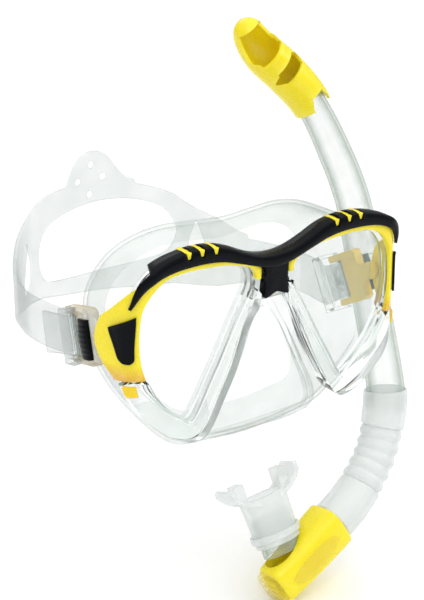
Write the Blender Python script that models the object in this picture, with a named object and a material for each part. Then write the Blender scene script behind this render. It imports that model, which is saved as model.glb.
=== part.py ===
"""Two-lens diving mask with its strap and a snorkel, as separate pieces at their real size.

+X is the wearer's left, +Y runs towards the face and +Z is up. The origin is the middle of the face
seal. Shapes are written in millimetres and scaled to metres when a mesh is made.
"""

import math

import bpy
import bmesh
import numpy as np
from mathutils import Vector

MM = 0.001
GAP = 0.3  # room between neighbouring pieces
GROOVE_GAP = 0.36  # room on each side of a tooth in its groove

# Driving dimensions, mm
SEAL_Y = 50.0  # from the frame's front plane back to the origin
FRONT_Y = -SEAL_Y
BEZEL_DEPTH = 3.8
LIP_BACK = 5.3  # the lens rests against the back of this lip
LENS_GLASS = 3.0
LENS_LAP = 1.2  # how far the glass reaches under the lip
FRAME_DEPTH = 11.0
BEND_START = 74.0  # the frame is flat up to here, then wraps round the temple
BEND_RADIUS = 16.0
BEND_ANGLE = math.radians(72)
WING_THICK = 4.0
SKIRT_WALL = 2.2

PIVOT_Y = FRONT_Y + 21.6  # strap brackets turn about the X axis through this point
PIVOT_Z = -8.0
DROOP = {1: math.radians(28), -1: math.radians(12)}  # how far each bracket hangs below level at rest
ARM_IN, ARM_OUT = 83.8, 86.4
FORK_IN, FORK_OUT = 86.6, 91.0
ROLLER_X, ROLLER_A, ROLLER_R = 89.4, 29.0, 2.2
BUTTON_IN, BUTTON_OUT = 8.8, 17.6
STRAP_THICK = 2.0

TUBE_WALL = 1.7
KEEPER_S = 174.0  # distance along the snorkel, from its tip, to the keeper's middle
KEEPER_PIVOT = (99.6, 11.4, -29.2)
HOSE_START, HOSE_END = 273.4, 311.6
HOSE_RINGS = 5

# Outlines seen from the front, for the wearer's left lens; the other side mirrors them.
LENS_OPENING = [
    (11.5, 9), (12.5, 16.5), (18, 21.5), (30, 24.8), (43, 26), (55, 26.3), (66, 24.7), (75, 19.5),
    (80.8, 9.5), (82, -3), (81.5, -14), (78, -27), (71, -39), (62, -48.5), (54, -55), (49.5, -57),
    (45, -52), (38, -39.5), (31, -27.5), (25, -16.5), (19, -5.5), (14.5, 2),
]
FRAME_EDGE = [
    (9.2, 6.5), (8.8, 18.5), (15, 24.5), (29, 28.6), (43, 30.4), (56.5, 30.2), (68.5, 29), (78, 24.2),
    (86.5, 14.5), (88.5, -2), (89, -14), (88.5, -28), (83, -41.5), (74, -52), (62, -62), (48.5, -66.5),
    (40.5, -61), (32, -46), (25, -33), (20, -21), (15, -8), (10.5, -1.5),
]
BEZEL_FIRST, BEZEL_LAST = 0.2, 10.75  # where along those lists the colour bezel covers the frame

# The bezel's two edges in (distance round the bend, height)
BEZEL_IN = [
    (11.9, 13.5), (13.2, 18), (18, 21.5), (30, 24.8), (43, 26), (55, 26.3), (66, 24.7), (74.5, 19.6),
    (80, 12.5), (81.8, 5.5), (82.6, -3), (82.5, -11), (81.5, -18.5), (79.6, -25),
]
BEZEL_OUT = [
    (9.0, 13.5), (9.4, 19.5), (15.3, 24.4), (29, 28.4), (43, 30.2), (56.5, 30.2), (69, 29), (79.8, 25.2),
    (89, 19.2), (99.5, 10.4), (106.3, 4.4), (110, -7), (106, -17.5), (98, -26),
]

# The brow trim's lower edge, and its height above that edge
TRIM_PATH = [(0, 19), (8, 20), (15, 22), (24, 25), (34, 28), (44, 29.3), (54, 29.4), (64, 28.6),
             (73, 26.2), (80.3, 21.6), (86, 12.6)]
TRIM_HEIGHT = [7, 6.6, 6.2, 6.6, 8, 8.6, 8.4, 7.4, 6.2, 5, 1.0]
GROOVES = (38.8, 47.2, 55)
# A groove's two cuts: name, lower and upper end above the bezel, nearest and farthest depth, extra width
NOTCHES = (("rear", 1.7, 9.5, 0.4, 14, 0.08), ("front", 2.95, 9.8, -6, 1.1, 0))

# The skirt's rings, top middle to bottom middle: (x, depth behind the frame's front, z)
SKIRT_FRONT = [(0, 12.5, 24), (14, 12.5, 25.5), (30, 12.5, 28), (48, 12.5, 29), (64, 12.5, 26.5),
               (75, 12.5, 19), (80.5, 12.5, 6), (80.5, 12.5, -12), (77, 12.5, -30), (66, 12.5, -49),
               (49, 12.5, -62), (25, 12.5, -66), (0, 12.5, -66)]
SKIRT_MIDDLE = [(0, 27, 29), (15, 27, 30.5), (32, 27, 32.5), (50, 27, 32), (66, 28, 27.5),
                (77, 29, 17), (81.8, 30, 3), (82, 30, -14), (79, 29, -33), (69, 26, -53),
                (50, 19, -72), (26, 16, -76), (0, 15, -77)]
SKIRT_SEAL = [(0, 47, 33), (18, 48, 34), (38, 50, 34.5), (55, 52, 31), (68, 55, 23), (77, 57, 11),
              (80.5, 58, -2), (80, 57, -18), (76, 53, -37), (65, 45, -58), (47, 31, -79),
              (25, 29, -82.5), (0, 28, -83)]
SKIRT_LIP = [(0, 50, 21), (14, 51, 22), (30, 53, 22.5), (44, 55, 19.5), (56, 58, 12), (63, 60, 3),
             (66, 61, -7), (66, 60, -20), (62, 57, -35), (52, 50, -51), (39, 37, -65), (22, 35, -68),
             (0, 34, -69)]
# Nose pocket sections: height, half width at its root, half width at its face, depth of its face
NOSE = [(-5, 8, 3.5, 9.5), (-20, 16.2, 8.5, 6), (-40, 24.5, 14, 3), (-57, 32, 19, 1.5),
        (-69, 35, 21, 4), (-74.5, 33, 19, 9)]

# The strap's path seen from above, from its middle behind the head to the buckle: (x, y)
STRAP_PATH = [(0, 122), (40, 115), (65, 100), (82, 78), (91, 52), (92.3, 36), (91, 25)]
# Strap outline by distance from its middle: (distance, lower edge, upper edge)
STRAP_EDGES = [(0, -46, 21), (20, -46, 21), (32, -45.5, 19.5), (48, -44, 15), (57, -44, 9.5),
               (67, -44, 4.5), (77, -44, 0), (88, -41.5, -6), (100, -38, -9.5), (120, -36, -11.5),
               (400, -36, -11.5)]
STRAP_TILT = 0.108  # the strap hangs lower on the snorkel's side
# The raised tab over the eye: (distance, upper edge)
TAB = [(-26, -99), (-24, 21), (-21, 29), (-18, 34), (-14, 38.5), (-9, 41.3), (-4, 42), (2, 41), (7, 37),
       (11, 31.5), (15, 26.5), (20, 22.5), (24, 21), (26, -99)]
# The strap's eye: (distance, lower edge, upper edge)
EYE = [(-51, -16, -12), (-49, -23, -4.5), (-45, -28.5, 0.8), (-38, -31.3, 5), (-24, -33, 9), (-8, -33.6, 10.8),
       (8, -33.3, 10.8), (24, -32.2, 8.5), (37, -30.2, 4), (44, -27.5, -1), (48.5, -22, -8), (50.5, -16, -12.5)]
SLIT = [(58.5, -14), (61.5, -4), (63.5, -1), (68, -14), (72.5, -27), (70, -30.5), (63.5, -30), (59.5, -25)]
TAB_HOLES = [(-5, 34), (-15, 25), (3, 25.5), (-6.5, 16)]
SMALL_HOLE = (62, 4.5)

# The snorkel's centre line, from the guard's tip to the foot of the housing
SNORKEL_PATH = [
    (42, 37, 126), (54, 34, 109), (68, 31, 96), (81, 28, 82), (90, 25, 67), (99, 22, 48),
    (106, 18, 29), (111, 14, 8), (116, 4, -42), (120, -6, -88), (119.5, -9, -103), (115, -12, -120),
    (107, -15, -136), (94, -18, -150), (84, -20, -158), (68, -21.5, -167), (44, -24, -180),
    (21, -26, -192),
]
GUARD_END = 68.0
TUBE_START, TUBE_END = 52.0, 262.0
TUBE_RADIUS = [(52, 8.7), (72, 9.0), (100, 9.9), (150, 10.8), (200, 11.2), (262, 11.8)]
COLLAR_START, COLLAR_END = 250.0, 273.0
CUFF_START, CUFF_END = 312.0, 349.0
HOUSING_START, HOUSING_END = 341.4, 394.0
MOUTH_ROOT = Vector((33, -25, -184))  # where the mouthpiece's axis meets the housing's centre line
MOUTH_AXIS = Vector((-0.107, 0.427, 0.897)).normalized()
MOUTH_WIDTH = Vector((1, -0.02, 0.11)).normalized()
BEND_NORMAL = Vector((0, 1, -0.2)).normalized()  # the snorkel's curve lies in the plane across this


# ---------------------------------------------------------------- helpers

def clear_scene():
    for old in list(bpy.data.objects):
        bpy.data.objects.remove(old, do_unlink=True)


def material(name, colour, roughness, alpha=1.0):
    made = bpy.data.materials.new(name)
    made.use_nodes = True
    shader = made.node_tree.nodes["Principled BSDF"]
    shader.inputs["Base Color"].default_value = (*colour, 1.0)
    shader.inputs["Roughness"].default_value = roughness
    shader.inputs["Metallic"].default_value = 0.0
    shader.inputs["Alpha"].default_value = alpha
    return made


def pivot(name, at, parent=None):
    """An empty on a joint's axis, which carries the pieces of one moving body."""
    empty = bpy.data.objects.new(name, None)
    bpy.context.collection.objects.link(empty)
    empty.parent = parent
    above = Vector(parent["world"]) if parent else Vector((0, 0, 0))
    empty["world"] = tuple(v * MM for v in at)
    empty.location = Vector(at) * MM - above
    return empty


def solid(name, points, faces, look, body=None):
    """A closed mesh object from points in millimetres, placed under its body's pivot."""
    origin = Vector(body["world"]) if body else Vector((0, 0, 0))
    mesh = bpy.data.meshes.new(name)
    mesh.from_pydata([Vector(p) * MM - origin for p in points], [], faces)
    shape = bmesh.new()
    shape.from_mesh(mesh)
    bmesh.ops.recalc_face_normals(shape, faces=shape.faces)
    if shape.calc_volume(signed=True) < 0:
        bmesh.ops.reverse_faces(shape, faces=shape.faces)
    shape.to_mesh(mesh)
    shape.free()
    mesh.materials.append(look)
    mesh.shade_smooth()
    mesh.set_sharp_from_angle(angle=math.radians(35))
    made = bpy.data.objects.new(name, mesh)
    made.parent = body
    bpy.context.collection.objects.link(made)
    return made


def combine(target, other, operation):
    """Joins or cuts with a hidden helper object."""
    other.hide_render = True
    other.display_type = "WIRE"
    modifier = target.modifiers.new(other.name, "BOOLEAN")
    modifier.operation = operation
    modifier.solver = "EXACT"
    modifier.object = other


def smooth(points, count, closed=False):
    """Points on a Catmull-Rom curve through the given ones, evenly spaced by station."""
    given = np.array(points, float)
    size = len(given)
    spans = size if closed else size - 1
    out = []
    for i in range(count):
        at = spans * i / (count if closed else count - 1)
        k = min(int(at), spans - 1)
        t = at - k
        if closed:
            a, b, c, d = (given[(k + j) % size] for j in (-1, 0, 1, 2))
        else:
            b, c = given[k], given[k + 1]
            a = given[k - 1] if k else 2 * b - c
            d = given[k + 2] if k + 2 < size else 2 * c - b
        out.append(0.5 * (2 * b + (c - a) * t + (2 * a - 5 * b + 4 * c - d) * t ** 2
                          + (3 * b - a - 3 * c + d) * t ** 3))
    return np.array(out)


def blend(table, at):
    """A value read from a table of (place, value) pairs."""
    return float(np.interp(at, [row[0] for row in table], [row[1] for row in table]))


def ring_faces(rows, columns, closed_rows, closed_columns):
    """Quads of a grid of points, row by row."""
    faces = []
    for r in range(rows if closed_rows else rows - 1):
        for c in range(columns if closed_columns else columns - 1):
            here, right = r * columns + c, r * columns + (c + 1) % columns
            below = ((r + 1) % rows) * columns
            faces.append((here, right, below + (c + 1) % columns, below + c))
    return faces


def sweep(name, sections, look, body=None, closed=False):
    """Sections (loops of the same number of points) joined in a row, capped at both ends."""
    rows, columns = len(sections), len(sections[0])
    points = [p for section in sections for p in section]
    faces = ring_faces(rows, columns, closed, True)
    if not closed:
        faces.append(tuple(range(columns)))
        faces.append(tuple(range((rows - 1) * columns, rows * columns)))
    return solid(name, points, faces, look, body)


def slab(name, front, back, look, body=None):
    """A plate between two grids of points of the same size."""
    sections = [list(f) + list(reversed(b)) for f, b in zip(front, back)]
    return sweep(name, sections, look, body)


def prism(name, outline, near, far, look, place=lambda u, v, w: (u, w, v), body=None):
    """An outline of (u, v) points pushed from near to far; place turns (u, v, w) into x, y, z."""
    return sweep(name, [[place(u, v, w) for u, v in outline] for w in (near, far)], look, body)


def box(name, low, high, look, body=None, place=lambda u, v, w: (u, v, w)):
    corners = [(low[0], low[1]), (high[0], low[1]), (high[0], high[1]), (low[0], high[1])]
    return sweep(name, [[place(u, v, w) for u, v in corners] for w in (low[2], high[2])], look, body)


def circle(radius, count, centre=(0, 0)):
    turns = [2 * math.pi * i / count for i in range(count)]
    return [(centre[0] + radius * math.cos(t), centre[1] + radius * math.sin(t)) for t in turns]


def mirrored(side, points):
    return [(side * p[0], *p[1:]) for p in points]


# ---------------------------------------------------------------- mask frame

def bend(x):
    """How far the frame's front lies behind the flat plane at this distance from the middle."""
    run = min(max(abs(x) - BEND_START, 0), BEND_RADIUS * math.sin(BEND_ANGLE))
    return BEND_RADIUS - math.sqrt(BEND_RADIUS ** 2 - run ** 2)


def wrapped(q, z, proud, side):
    """A point on the wrapped front surface: q runs round the bend, proud stands out of it."""
    turn = min(max((abs(q) - BEND_START) / BEND_RADIUS, 0), BEND_ANGLE)
    past = max(abs(q) - BEND_START - BEND_RADIUS * BEND_ANGLE, 0)
    x = min(abs(q), BEND_START) + BEND_RADIUS * math.sin(turn) + past * math.cos(turn)
    y = BEND_RADIUS * (1 - math.cos(turn)) + past * math.sin(turn)
    x += proud * math.sin(turn)
    y -= proud * math.cos(turn)
    return side * x, FRONT_Y + y, z


def rim_outlines(count):
    return smooth(LENS_OPENING, count, closed=True), smooth(FRAME_EDGE, count, closed=True)


def grown(outline, by):
    """An outline pushed outwards by a distance."""
    points = np.array(outline, float)
    along = np.roll(points, -1, axis=0) - np.roll(points, 1, axis=0)
    along /= np.linalg.norm(along, axis=1)[:, None]
    out = np.stack([-along[:, 1], along[:, 0]], axis=1)
    return points + by * out


def frame_rim(name, side, look):
    """One side of the clear frame: a lip in front of the lens and a body round its edge."""
    count = 66
    per_station = count / len(LENS_OPENING)
    inner, outer = rim_outlines(count)
    seat = grown(inner, LENS_LAP + GAP)
    rest = grown(inner, -0.8)
    lip, back = FRONT_Y + LIP_BACK, FRONT_Y + FRAME_DEPTH
    sections = []
    for i in range(count):
        under_bezel = BEZEL_FIRST - 0.35 < i / per_station < BEZEL_LAST + 0.15
        (ix, iz), (sx, sz), (rx, rz), (ox, oz) = inner[i], seat[i], rest[i], outer[i]
        front = FRONT_Y + (BEZEL_DEPTH + 1.5 * GAP if under_bezel else 0.0)
        if under_bezel and ox > BEND_START:
            ox = BEND_START + (ox - BEND_START) * 0.72
        edge = min(front + bend(ox), lip - 0.5) if under_bezel else front + bend(ox)
        glass = lip + LENS_GLASS + 2 * GAP
        section = [(ix, min(front + bend(ix), lip - 0.7), iz), (ox, edge, oz), (ox, max(back, edge + 3), oz),
                   (rx, back, rz), (rx, glass, rz), (sx, glass, sz), (sx, lip, sz), (ix, lip, iz)]
        sections.append(mirrored(side, section))
    return sweep(name, sections, look, closed=True)


def main_frame(look):
    frame = frame_rim("main_frame", 1, look)
    combine(frame, frame_rim("frame_other_side", -1, look), "UNION")
    middle = [(-9.3, 12), (-9.2, 18), (-7, 20.8), (0, 20), (7, 20.8), (9.2, 18), (9.3, 12), (9.6, 6),
              (11.6, 0.6), (8, 0.2), (-8, 0.2), (-11.6, 0.6), (-9.6, 6)]
    bridge = prism("frame_bridge", middle, FRONT_Y + 4.6, FRONT_Y + FRAME_DEPTH - 0.4, look)
    combine(frame, bridge, "UNION")
    for side in (1, -1):
        combine(frame, bezel_plate(f"bezel_room_{side}", side, look, GAP), "DIFFERENCE")


def lens(side, look):
    outline = grown(rim_outlines(66)[0], LENS_LAP)
    near = FRONT_Y + LIP_BACK + GAP
    name = "lens_left" if side > 0 else "lens_right"
    prism(name, mirrored(side, outline), near, near + LENS_GLASS, look)


def bezel_thickness(q):
    """The bezel's thickness, less where the lens' edge lies behind the bend."""
    turn = min(max((q - BEND_START) / BEND_RADIUS, 0), BEND_ANGLE)
    over = (4.2 - BEND_RADIUS * (1 - math.cos(turn))) / math.cos(turn)
    beside = (BEND_START + BEND_RADIUS * math.sin(turn) - 84.2) / max(math.sin(turn), 0.05)
    return min(BEZEL_DEPTH, max(over, beside))


def bezel_plate(name, side, look, spare=0.0):
    """The bezel's plate, or with spare room all round it, the space that it needs."""
    count = 40
    inner, outer = smooth(BEZEL_IN, count), smooth(BEZEL_OUT, count)
    shares = [0, 0.03, 0.06, 0.09, 0.12, 0.16, 0.2, 0.35, 0.65, 1]
    front, back = [], []
    for i, (a, b) in enumerate(zip(inner, outer)):
        across = (b - a) / np.linalg.norm(b - a)
        ahead, behind = inner[min(i + 1, count - 1)], inner[max(i - 1, 0)]
        end = (ahead - behind) / np.linalg.norm(ahead - behind) * (spare * ((i == count - 1) - (i == 0)))
        a, b = a - across * spare + end, b + across * spare + end
        spots = [a + (b - a) * k for k in shares]
        thick = [bezel_thickness(q) for q, _ in spots]
        front.append([wrapped(q, z, 2 * spare, side) for q, z in spots])
        back.append([wrapped(q, z, -t - spare, side) for (q, z), t in zip(spots, thick)])
    return slab(name, front, back, look)


def wedge(at, base, low, high, wider):
    """A groove's outline, opening upwards, or with a negative margin the tooth that stands in it."""
    def half(up):
        return 0.85 + 0.214 * max(up - 1.9, 0) + wider
    heights = [low] + [up for up in (1.9,) if low < up] + [high]
    right = [(at + half(up), base + up) for up in heights]
    return right + [(2 * at - x, z) for x, z in reversed(right)]


def colour_bezel(side, look):
    """The coloured cover over the top and temple of the frame, with the teeth of the brow grooves."""
    name = "colour_bezel_left" if side > 0 else "colour_bezel_right"
    bezel = bezel_plate(name, side, look)
    for at in GROOVES:
        base = blend(BEZEL_OUT[:8], at)
        fins = (("root", -1.5, 5.0, 1.2, 3.6, 0.0), ("tooth", 0.9, 6.8, 1.7, 8.2, 0.05),
                ("face", 3.4, 6.6, -1.4, 2.6, 0.1))
        for part, low, high, near, far, slim in fins:
            fin = prism(f"{name}_{part}_{at:.0f}", mirrored(side, wedge(at, base, low, high, -GROOVE_GAP - slim)),
                        FRONT_Y + near, FRONT_Y + far, look)
            combine(bezel, fin, "UNION")
    pocket = prism(f"{name}_pocket", circle(3.3, 20, (PIVOT_Y, PIVOT_Z)), side * 80, side * 90.7, look,
                   place=lambda u, v, w: (w, u, v))
    combine(bezel, pocket, "DIFFERENCE")


def brow_trim(look):
    """The black bar over both lenses, with a nose stub and three grooves over each lens."""
    count = 45
    path = smooth([(-x, z) for x, z in reversed(TRIM_PATH[1:])] + TRIM_PATH, count)
    heights = smooth([(h, 0) for h in list(reversed(TRIM_HEIGHT[1:])) + TRIM_HEIGHT], count)[:, 0]
    sections = []
    for i, ((x, z), height) in enumerate(zip(path, heights)):
        ahead, behind = path[min(i + 1, count - 1)], path[max(i - 1, 0)]
        along = (ahead - behind) / np.linalg.norm(ahead - behind)
        up = np.array([-along[1], along[0]])
        cap = min(max((75 - abs(x)) / 4, 0), 1)  # 1 where the trim reaches back over the frame's top
        ledge = cap * 3.1 + (1 - cap) * 0.4 * height
        profile = [(-2.4, 0), (-GAP, 0), (-GAP, ledge),
                   (-GAP + cap * 9.3, ledge + (1 - cap) * 0.2 * height),
                   (-GAP + cap * 9.3, max(height - 1.6, 0.8 * height)),
                   (cap * 2.6 - (1 - cap) * 0.8, height), (-1.7, height - 0.18 * height)]
        depth = bend(x)
        sections.append([(x + up[0] * n, FRONT_Y + depth + y, z + up[1] * n) for y, n in profile])
    trim = sweep("brow_trim", sections, look)
    stub = [(-7, 20.5), (7, 20.5), (6.9, 14), (7.5, 7), (8, 2.6), (0, 4.9), (-8, 2.6), (-7.5, 7), (-6.9, 14)]
    combine(trim, prism("nose_stub", stub, FRONT_Y - 0.7, FRONT_Y + 4.2, look), "UNION")
    for side in (1, -1):
        for at in GROOVES:
            base = blend(BEZEL_OUT[:8], at)
            for part, low, high, near, far, wider in NOTCHES:
                cutter = prism(f"groove_{part}_{side}_{at:.0f}", mirrored(side, wedge(at, base, low, high, wider)),
                               FRONT_Y + near, FRONT_Y + far, look)
                combine(trim, cutter, "DIFFERENCE")


def side_insert(side, look):
    """The black shield on the temple, lying on the bezel's wrapped surface."""
    name = "side_insert_left" if side > 0 else "side_insert_right"
    left = [(83.9, 9), (84.1, 4), (84.7, -3), (85.1, -9), (85.2, -13.5), (87, -15.6)]
    right = [(99.2, 1.8), (98.2, -1.5), (96.3, -6), (94.8, -10), (93.4, -13.5), (91, -15.6)]
    inner, outer = smooth(left, 9), smooth(right, 9)
    shares = [k / 4 for k in range(5)]
    front, back = [], []
    for a, b in zip(inner, outer):
        spots = [a + (b - a) * k for k in shares]
        crown = [GAP + 0.7 + 0.9 * math.sin(math.pi * (0.15 + 0.7 * k)) for k in shares]
        front.append([wrapped(q, z, h, side) for (q, z), h in zip(spots, crown)])
        back.append([wrapped(q, z, GAP, side) for q, z in spots])
    slab(name, front, back, look)


def bezel_clip(side, look):
    """The small latch that holds the bezel's lower end to the frame."""
    name = "bezel_clip_left" if side > 0 else "bezel_clip_right"
    spots = [(84.5, -27.4), (91.5, -27.6), (89.5, -33.5), (83.5, -33)]
    front = [[wrapped(q, z, 1.6, side) for q, z in row] for row in (spots[:2], [spots[3], spots[2]])]
    back = [[wrapped(q, z, GAP, side) for q, z in row] for row in (spots[:2], [spots[3], spots[2]])]
    slab(name, front, back, look)


# ---------------------------------------------------------------- skirt

def skirt_ring(half, count, inset=0.0, back=0.0):
    whole = list(half) + [(-x, y, z) for x, y, z in reversed(half[1:-1])]
    ring = smooth(whole, count, closed=True)
    flat = grown([(x, z) for x, _, z in ring], inset)
    return [(x, FRONT_Y + y + back, z) for (x, z), (_, y, _) in zip(flat, ring)]


def skirt(look):
    """The soft skirt: a hollow box behind the frame that opens to the face, with a nose pocket."""
    count, wall = 48, SKIRT_WALL
    rings = [skirt_ring(SKIRT_FRONT, count), skirt_ring(SKIRT_MIDDLE, count),
             skirt_ring(SKIRT_SEAL, count), skirt_ring(SKIRT_LIP, count),
             skirt_ring(SKIRT_LIP, count, 0, -1.6), skirt_ring(SKIRT_SEAL, count, -wall, -wall),
             skirt_ring(SKIRT_MIDDLE, count, -wall), skirt_ring(SKIRT_FRONT, count, -wall, wall)]
    made = sweep("skirt", rings, look)
    nose = nose_block("nose_pocket", 0.0, FRONT_Y + 13.6, look)
    combine(made, nose, "UNION")
    combine(made, nose_block("nose_hollow", wall, FRONT_Y + 19.0, look), "DIFFERENCE")
    window = grown(rim_outlines(44)[0], -0.2)
    for side in (1, -1):
        cutter = prism(f"lens_window_{side}", mirrored(side, window), FRONT_Y + 8, FRONT_Y + 18, look)
        combine(made, cutter, "DIFFERENCE")


def nose_block(name, wall, root, look):
    sections = []
    heights = smooth([(row[0], row[1]) for row in NOSE], 12)[:, 0]
    for z in heights:
        table = sorted(NOSE)
        wide = blend([(r[0], r[1]) for r in table], z) - wall
        face = blend([(r[0], r[2]) for r in table], z) - wall
        depth = FRONT_Y + blend([(r[0], r[3]) for r in table], z) + wall
        middle = z + wall * (1 if z < -40 else -1) if z in (heights[0], heights[-1]) else z
        sections.append([(-wide, root, middle), (-wide, depth + 4, middle), (-face, depth, middle),
                         (face, depth, middle), (wide, depth + 4, middle), (wide, root, middle)])
    return sweep(name, sections, look)


# ---------------------------------------------------------------- strap and buckles

def bracket_place(side):
    """Turns (along the arm, up across it, out to the side) into x, y, z."""
    cos, sin = math.cos(DROOP[side]), math.sin(DROOP[side])

    def place(a, c, x):
        return side * x, PIVOT_Y + a * cos + c * sin, PIVOT_Z - a * sin + c * cos
    return place


def buckle(side, looks, body, button_body):
    tag = "left" if side > 0 else "right"
    place = bracket_place(side)
    hub = circle(5.0, 20)[3:18]
    arm = [(a, c) for a, c in hub] + [(16, -9), (16, 9)]
    bracket = prism(f"buckle_bracket_{tag}", arm, ARM_IN, ARM_OUT, looks["amber"], place, body)
    fork = [(10.5, -13), (13, -14.8), (33.5, -14.8), (34.5, -13.6), (34.5, -11.8), (33.5, -10.9),
            (23.5, -10.9), (23.5, 10.9), (33.5, 10.9), (34.5, 11.8), (34.5, 13.6), (33.5, 14.8),
            (13, 14.8), (10.5, 13)]
    combine(bracket, prism(f"fork_{tag}", fork, ARM_OUT - 1.4, FORK_OUT, looks["amber"], place, body), "UNION")
    stud = prism(f"stud_{tag}", circle(3.0, 20), ARM_OUT - 1, 90.4, looks["amber"], place, body)
    combine(bracket, stud, "UNION")
    across = lambda u, v, w: place(ROLLER_A + u, w, ROLLER_X + v)  # noqa: E731
    combine(bracket, prism(f"pin_hole_{tag}", circle(1.5, 12), -20, 20, looks["amber"], across, body), "DIFFERENCE")
    prism(f"roller_pin_{tag}", circle(1.15, 12), -14.2, 14.2, looks["steel"], across, body)
    roller = prism(f"strap_roller_{tag}", circle(ROLLER_R, 16), -10.4, 10.4, looks["clear"], across, body)
    combine(roller, prism(f"roller_bore_{tag}", circle(1.5, 12), -20, 20, looks["clear"], across, body), "DIFFERENCE")
    guard = [(24, -14.6), (33, -14.6), (33, 14.6), (24, 14.6)]
    cover = prism(f"buckle_cover_{tag}", guard, FORK_OUT + GAP, 96.2, looks["clear"], place, body)
    inside = [(20, -12.1), (40, -12.1), (40, 12.1), (20, 12.1)]
    combine(cover, prism(f"cover_room_{tag}", inside, 80, 94.9, looks["clear"], place, body), "DIFFERENCE")
    front, back = [], []
    for k in range(7):
        c = -10.4 + 20.8 * k / 6
        swell = 0.8 * math.sin(math.pi * k / 6)
        spots = ((BUTTON_IN, 94.0), (BUTTON_IN + 2.8, 94.9), (BUTTON_OUT - 2.8, 94.9), (BUTTON_OUT, 94.0))
        front.append([place(a, c, x + swell) for a, x in spots])
        back.append([place(a, c, 92.4) for a, _ in spots])
    slab(f"buckle_button_{tag}", front, back, looks["black"], button_body)


def strap_line():
    """Places along the strap, tail to tail: x, y, height of the middle, half height and lean."""
    turn = ROLLER_R + GAP + STRAP_THICK / 2
    sides = {}
    for side in (1, -1):
        place = bracket_place(side)
        whole = [(-x, y) for x, y in reversed(STRAP_PATH[1:])] + STRAP_PATH
        rows = [(side * x, y, None, None, 0.0) for x, y in smooth(whole, 97)[48:]]
        loop = [(47, ROLLER_X - 1.6, 0.5), (39, ROLLER_X - 2.6, 0.9), (33, ROLLER_X - turn, 1.0)]
        loop += [(ROLLER_A - turn * math.sin(t), ROLLER_X - turn * math.cos(t), 1.0)
                 for t in np.linspace(0, math.pi, 9)]
        loop += [(36, ROLLER_X + turn, 1.0), (45, ROLLER_X + turn + 0.5, 0.9), (53, ROLLER_X + turn + 1.2, 0.7)]
        for a, x, lean in loop:
            _, y, z = place(a, 0, x)
            rows.append((side * x, y, z, 10.3 + (1 - lean) * 3, lean * DROOP[side]))
        sides[side] = rows
    return list(reversed(sides[-1])) + sides[1][1:], len(sides[-1]) - 1


def strap_surface():
    """Front and back grids of the strap, and a function from (distance, height, out) to a point."""
    rows, middle = strap_line()
    line = np.array([row[:2] for row in rows], float)
    run = np.concatenate([[0], np.cumsum(np.linalg.norm(np.diff(line, axis=0), axis=1))])
    run -= run[middle]
    along = np.gradient(line, axis=0)
    along /= np.linalg.norm(along, axis=1)[:, None]
    out = np.stack([-along[:, 1], along[:, 0]], axis=1)
    front, back = [], []
    for i, (x, y, z, half, lean) in enumerate(rows):
        tilt = -STRAP_TILT * max(min(run[i], 65), -65)
        far = abs(run[i])
        low = blend([(e[0], e[1]) for e in STRAP_EDGES], far) + tilt
        high = max(blend([(e[0], e[2]) for e in STRAP_EDGES], far) + tilt, blend(TAB, run[i]))
        if z is None:
            ups = [(0.0, low + (high - low) * k / 3) for k in range(4)]
        else:
            steps = [half * (2 * k / 3 - 1) for k in range(4)]
            ups = [(c * math.sin(lean), z + c * math.cos(lean)) for c in steps]
        push = out[i] * STRAP_THICK / 2
        front.append([(x + push[0], y + push[1] + dy, h) for dy, h in ups])
        back.append([(x - push[0], y - push[1] + dy, h) for dy, h in ups])

    def spot(s, z, lift):
        at = [float(np.interp(s, run, line[:, k]) + lift * np.interp(s, run, out[:, k])) for k in (0, 1)]
        return at[0], at[1], z
    return front, back, spot


def strap(look, body):
    """The split strap: one band round the head with an eye, two slits and a tab with four holes."""
    front, back, spot = strap_surface()
    made = slab("strap", front, back, look, body)
    rows = smooth(EYE, 34)
    front, back = ([[spot(s, z, lift) for z in (low, high)] for s, low, high in rows] for lift in (9, -9))
    combine(made, slab("strap_eye", front, back, look, body), "DIFFERENCE")
    for name, slit in (("slit_right", [(-s, z) for s, z in SLIT]), ("slit_left", [(s, z - 8) for s, z in SLIT])):
        dense = smooth(slit, 3 * len(slit), closed=True)
        combine(made, prism(name, dense, -8, 8, look, spot, body), "DIFFERENCE")
    for k, (s, z) in enumerate(TAB_HOLES):
        hole = prism(f"tab_hole_{k}", circle(2.4, 16, (s, z)), -8, 8, look, spot, body)
        combine(made, hole, "DIFFERENCE")


def keeper_slide(look, body):
    """The loop on the strap that carries the snorkel's keeper, with the stud it turns on."""
    place = bracket_place(1)
    a0, a1 = 39.6, 47.6
    outer = [(a0, -16.2), (a1, -16.2), (a1, 16.8), (a0, 16.8)]
    made = prism("keeper_strap_slide", outer, 83.2, 97.6, look, place, body)
    inner = [(a0 - 5, -14.2), (a1 + 5, -14.2), (a1 + 5, 14.8), (a0 - 5, 14.8)]
    combine(made, prism("slide_room", inner, 85.0, 96.0, look, place, body), "DIFFERENCE")
    stud = prism("keeper_stud", circle(2.6, 20, (45, 0)), 97, 101.4, look, place, body)
    combine(made, stud, "UNION")


# ---------------------------------------------------------------- snorkel

def snorkel_line():
    points = smooth(SNORKEL_PATH, 341)
    run = np.concatenate([[0], np.cumsum(np.linalg.norm(np.diff(points, axis=0), axis=1))])
    return points, run


LINE, RUN = snorkel_line()


def along_line(s):
    at = Vector([float(np.interp(s, RUN, LINE[:, k])) for k in range(3)])
    past = s - min(max(s, 0), RUN[-1])
    ahead, behind = min(s + 2, RUN[-1]), max(s - 2, 0)
    if past:
        ahead, behind = (RUN[-1], RUN[-1] - 3) if past > 0 else (3, 0)
    ends = [Vector([float(np.interp(v, RUN, LINE[:, k])) for k in range(3)]) for v in (behind, ahead)]
    direction = (ends[1] - ends[0]).normalized()
    return at + direction * past, direction


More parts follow.
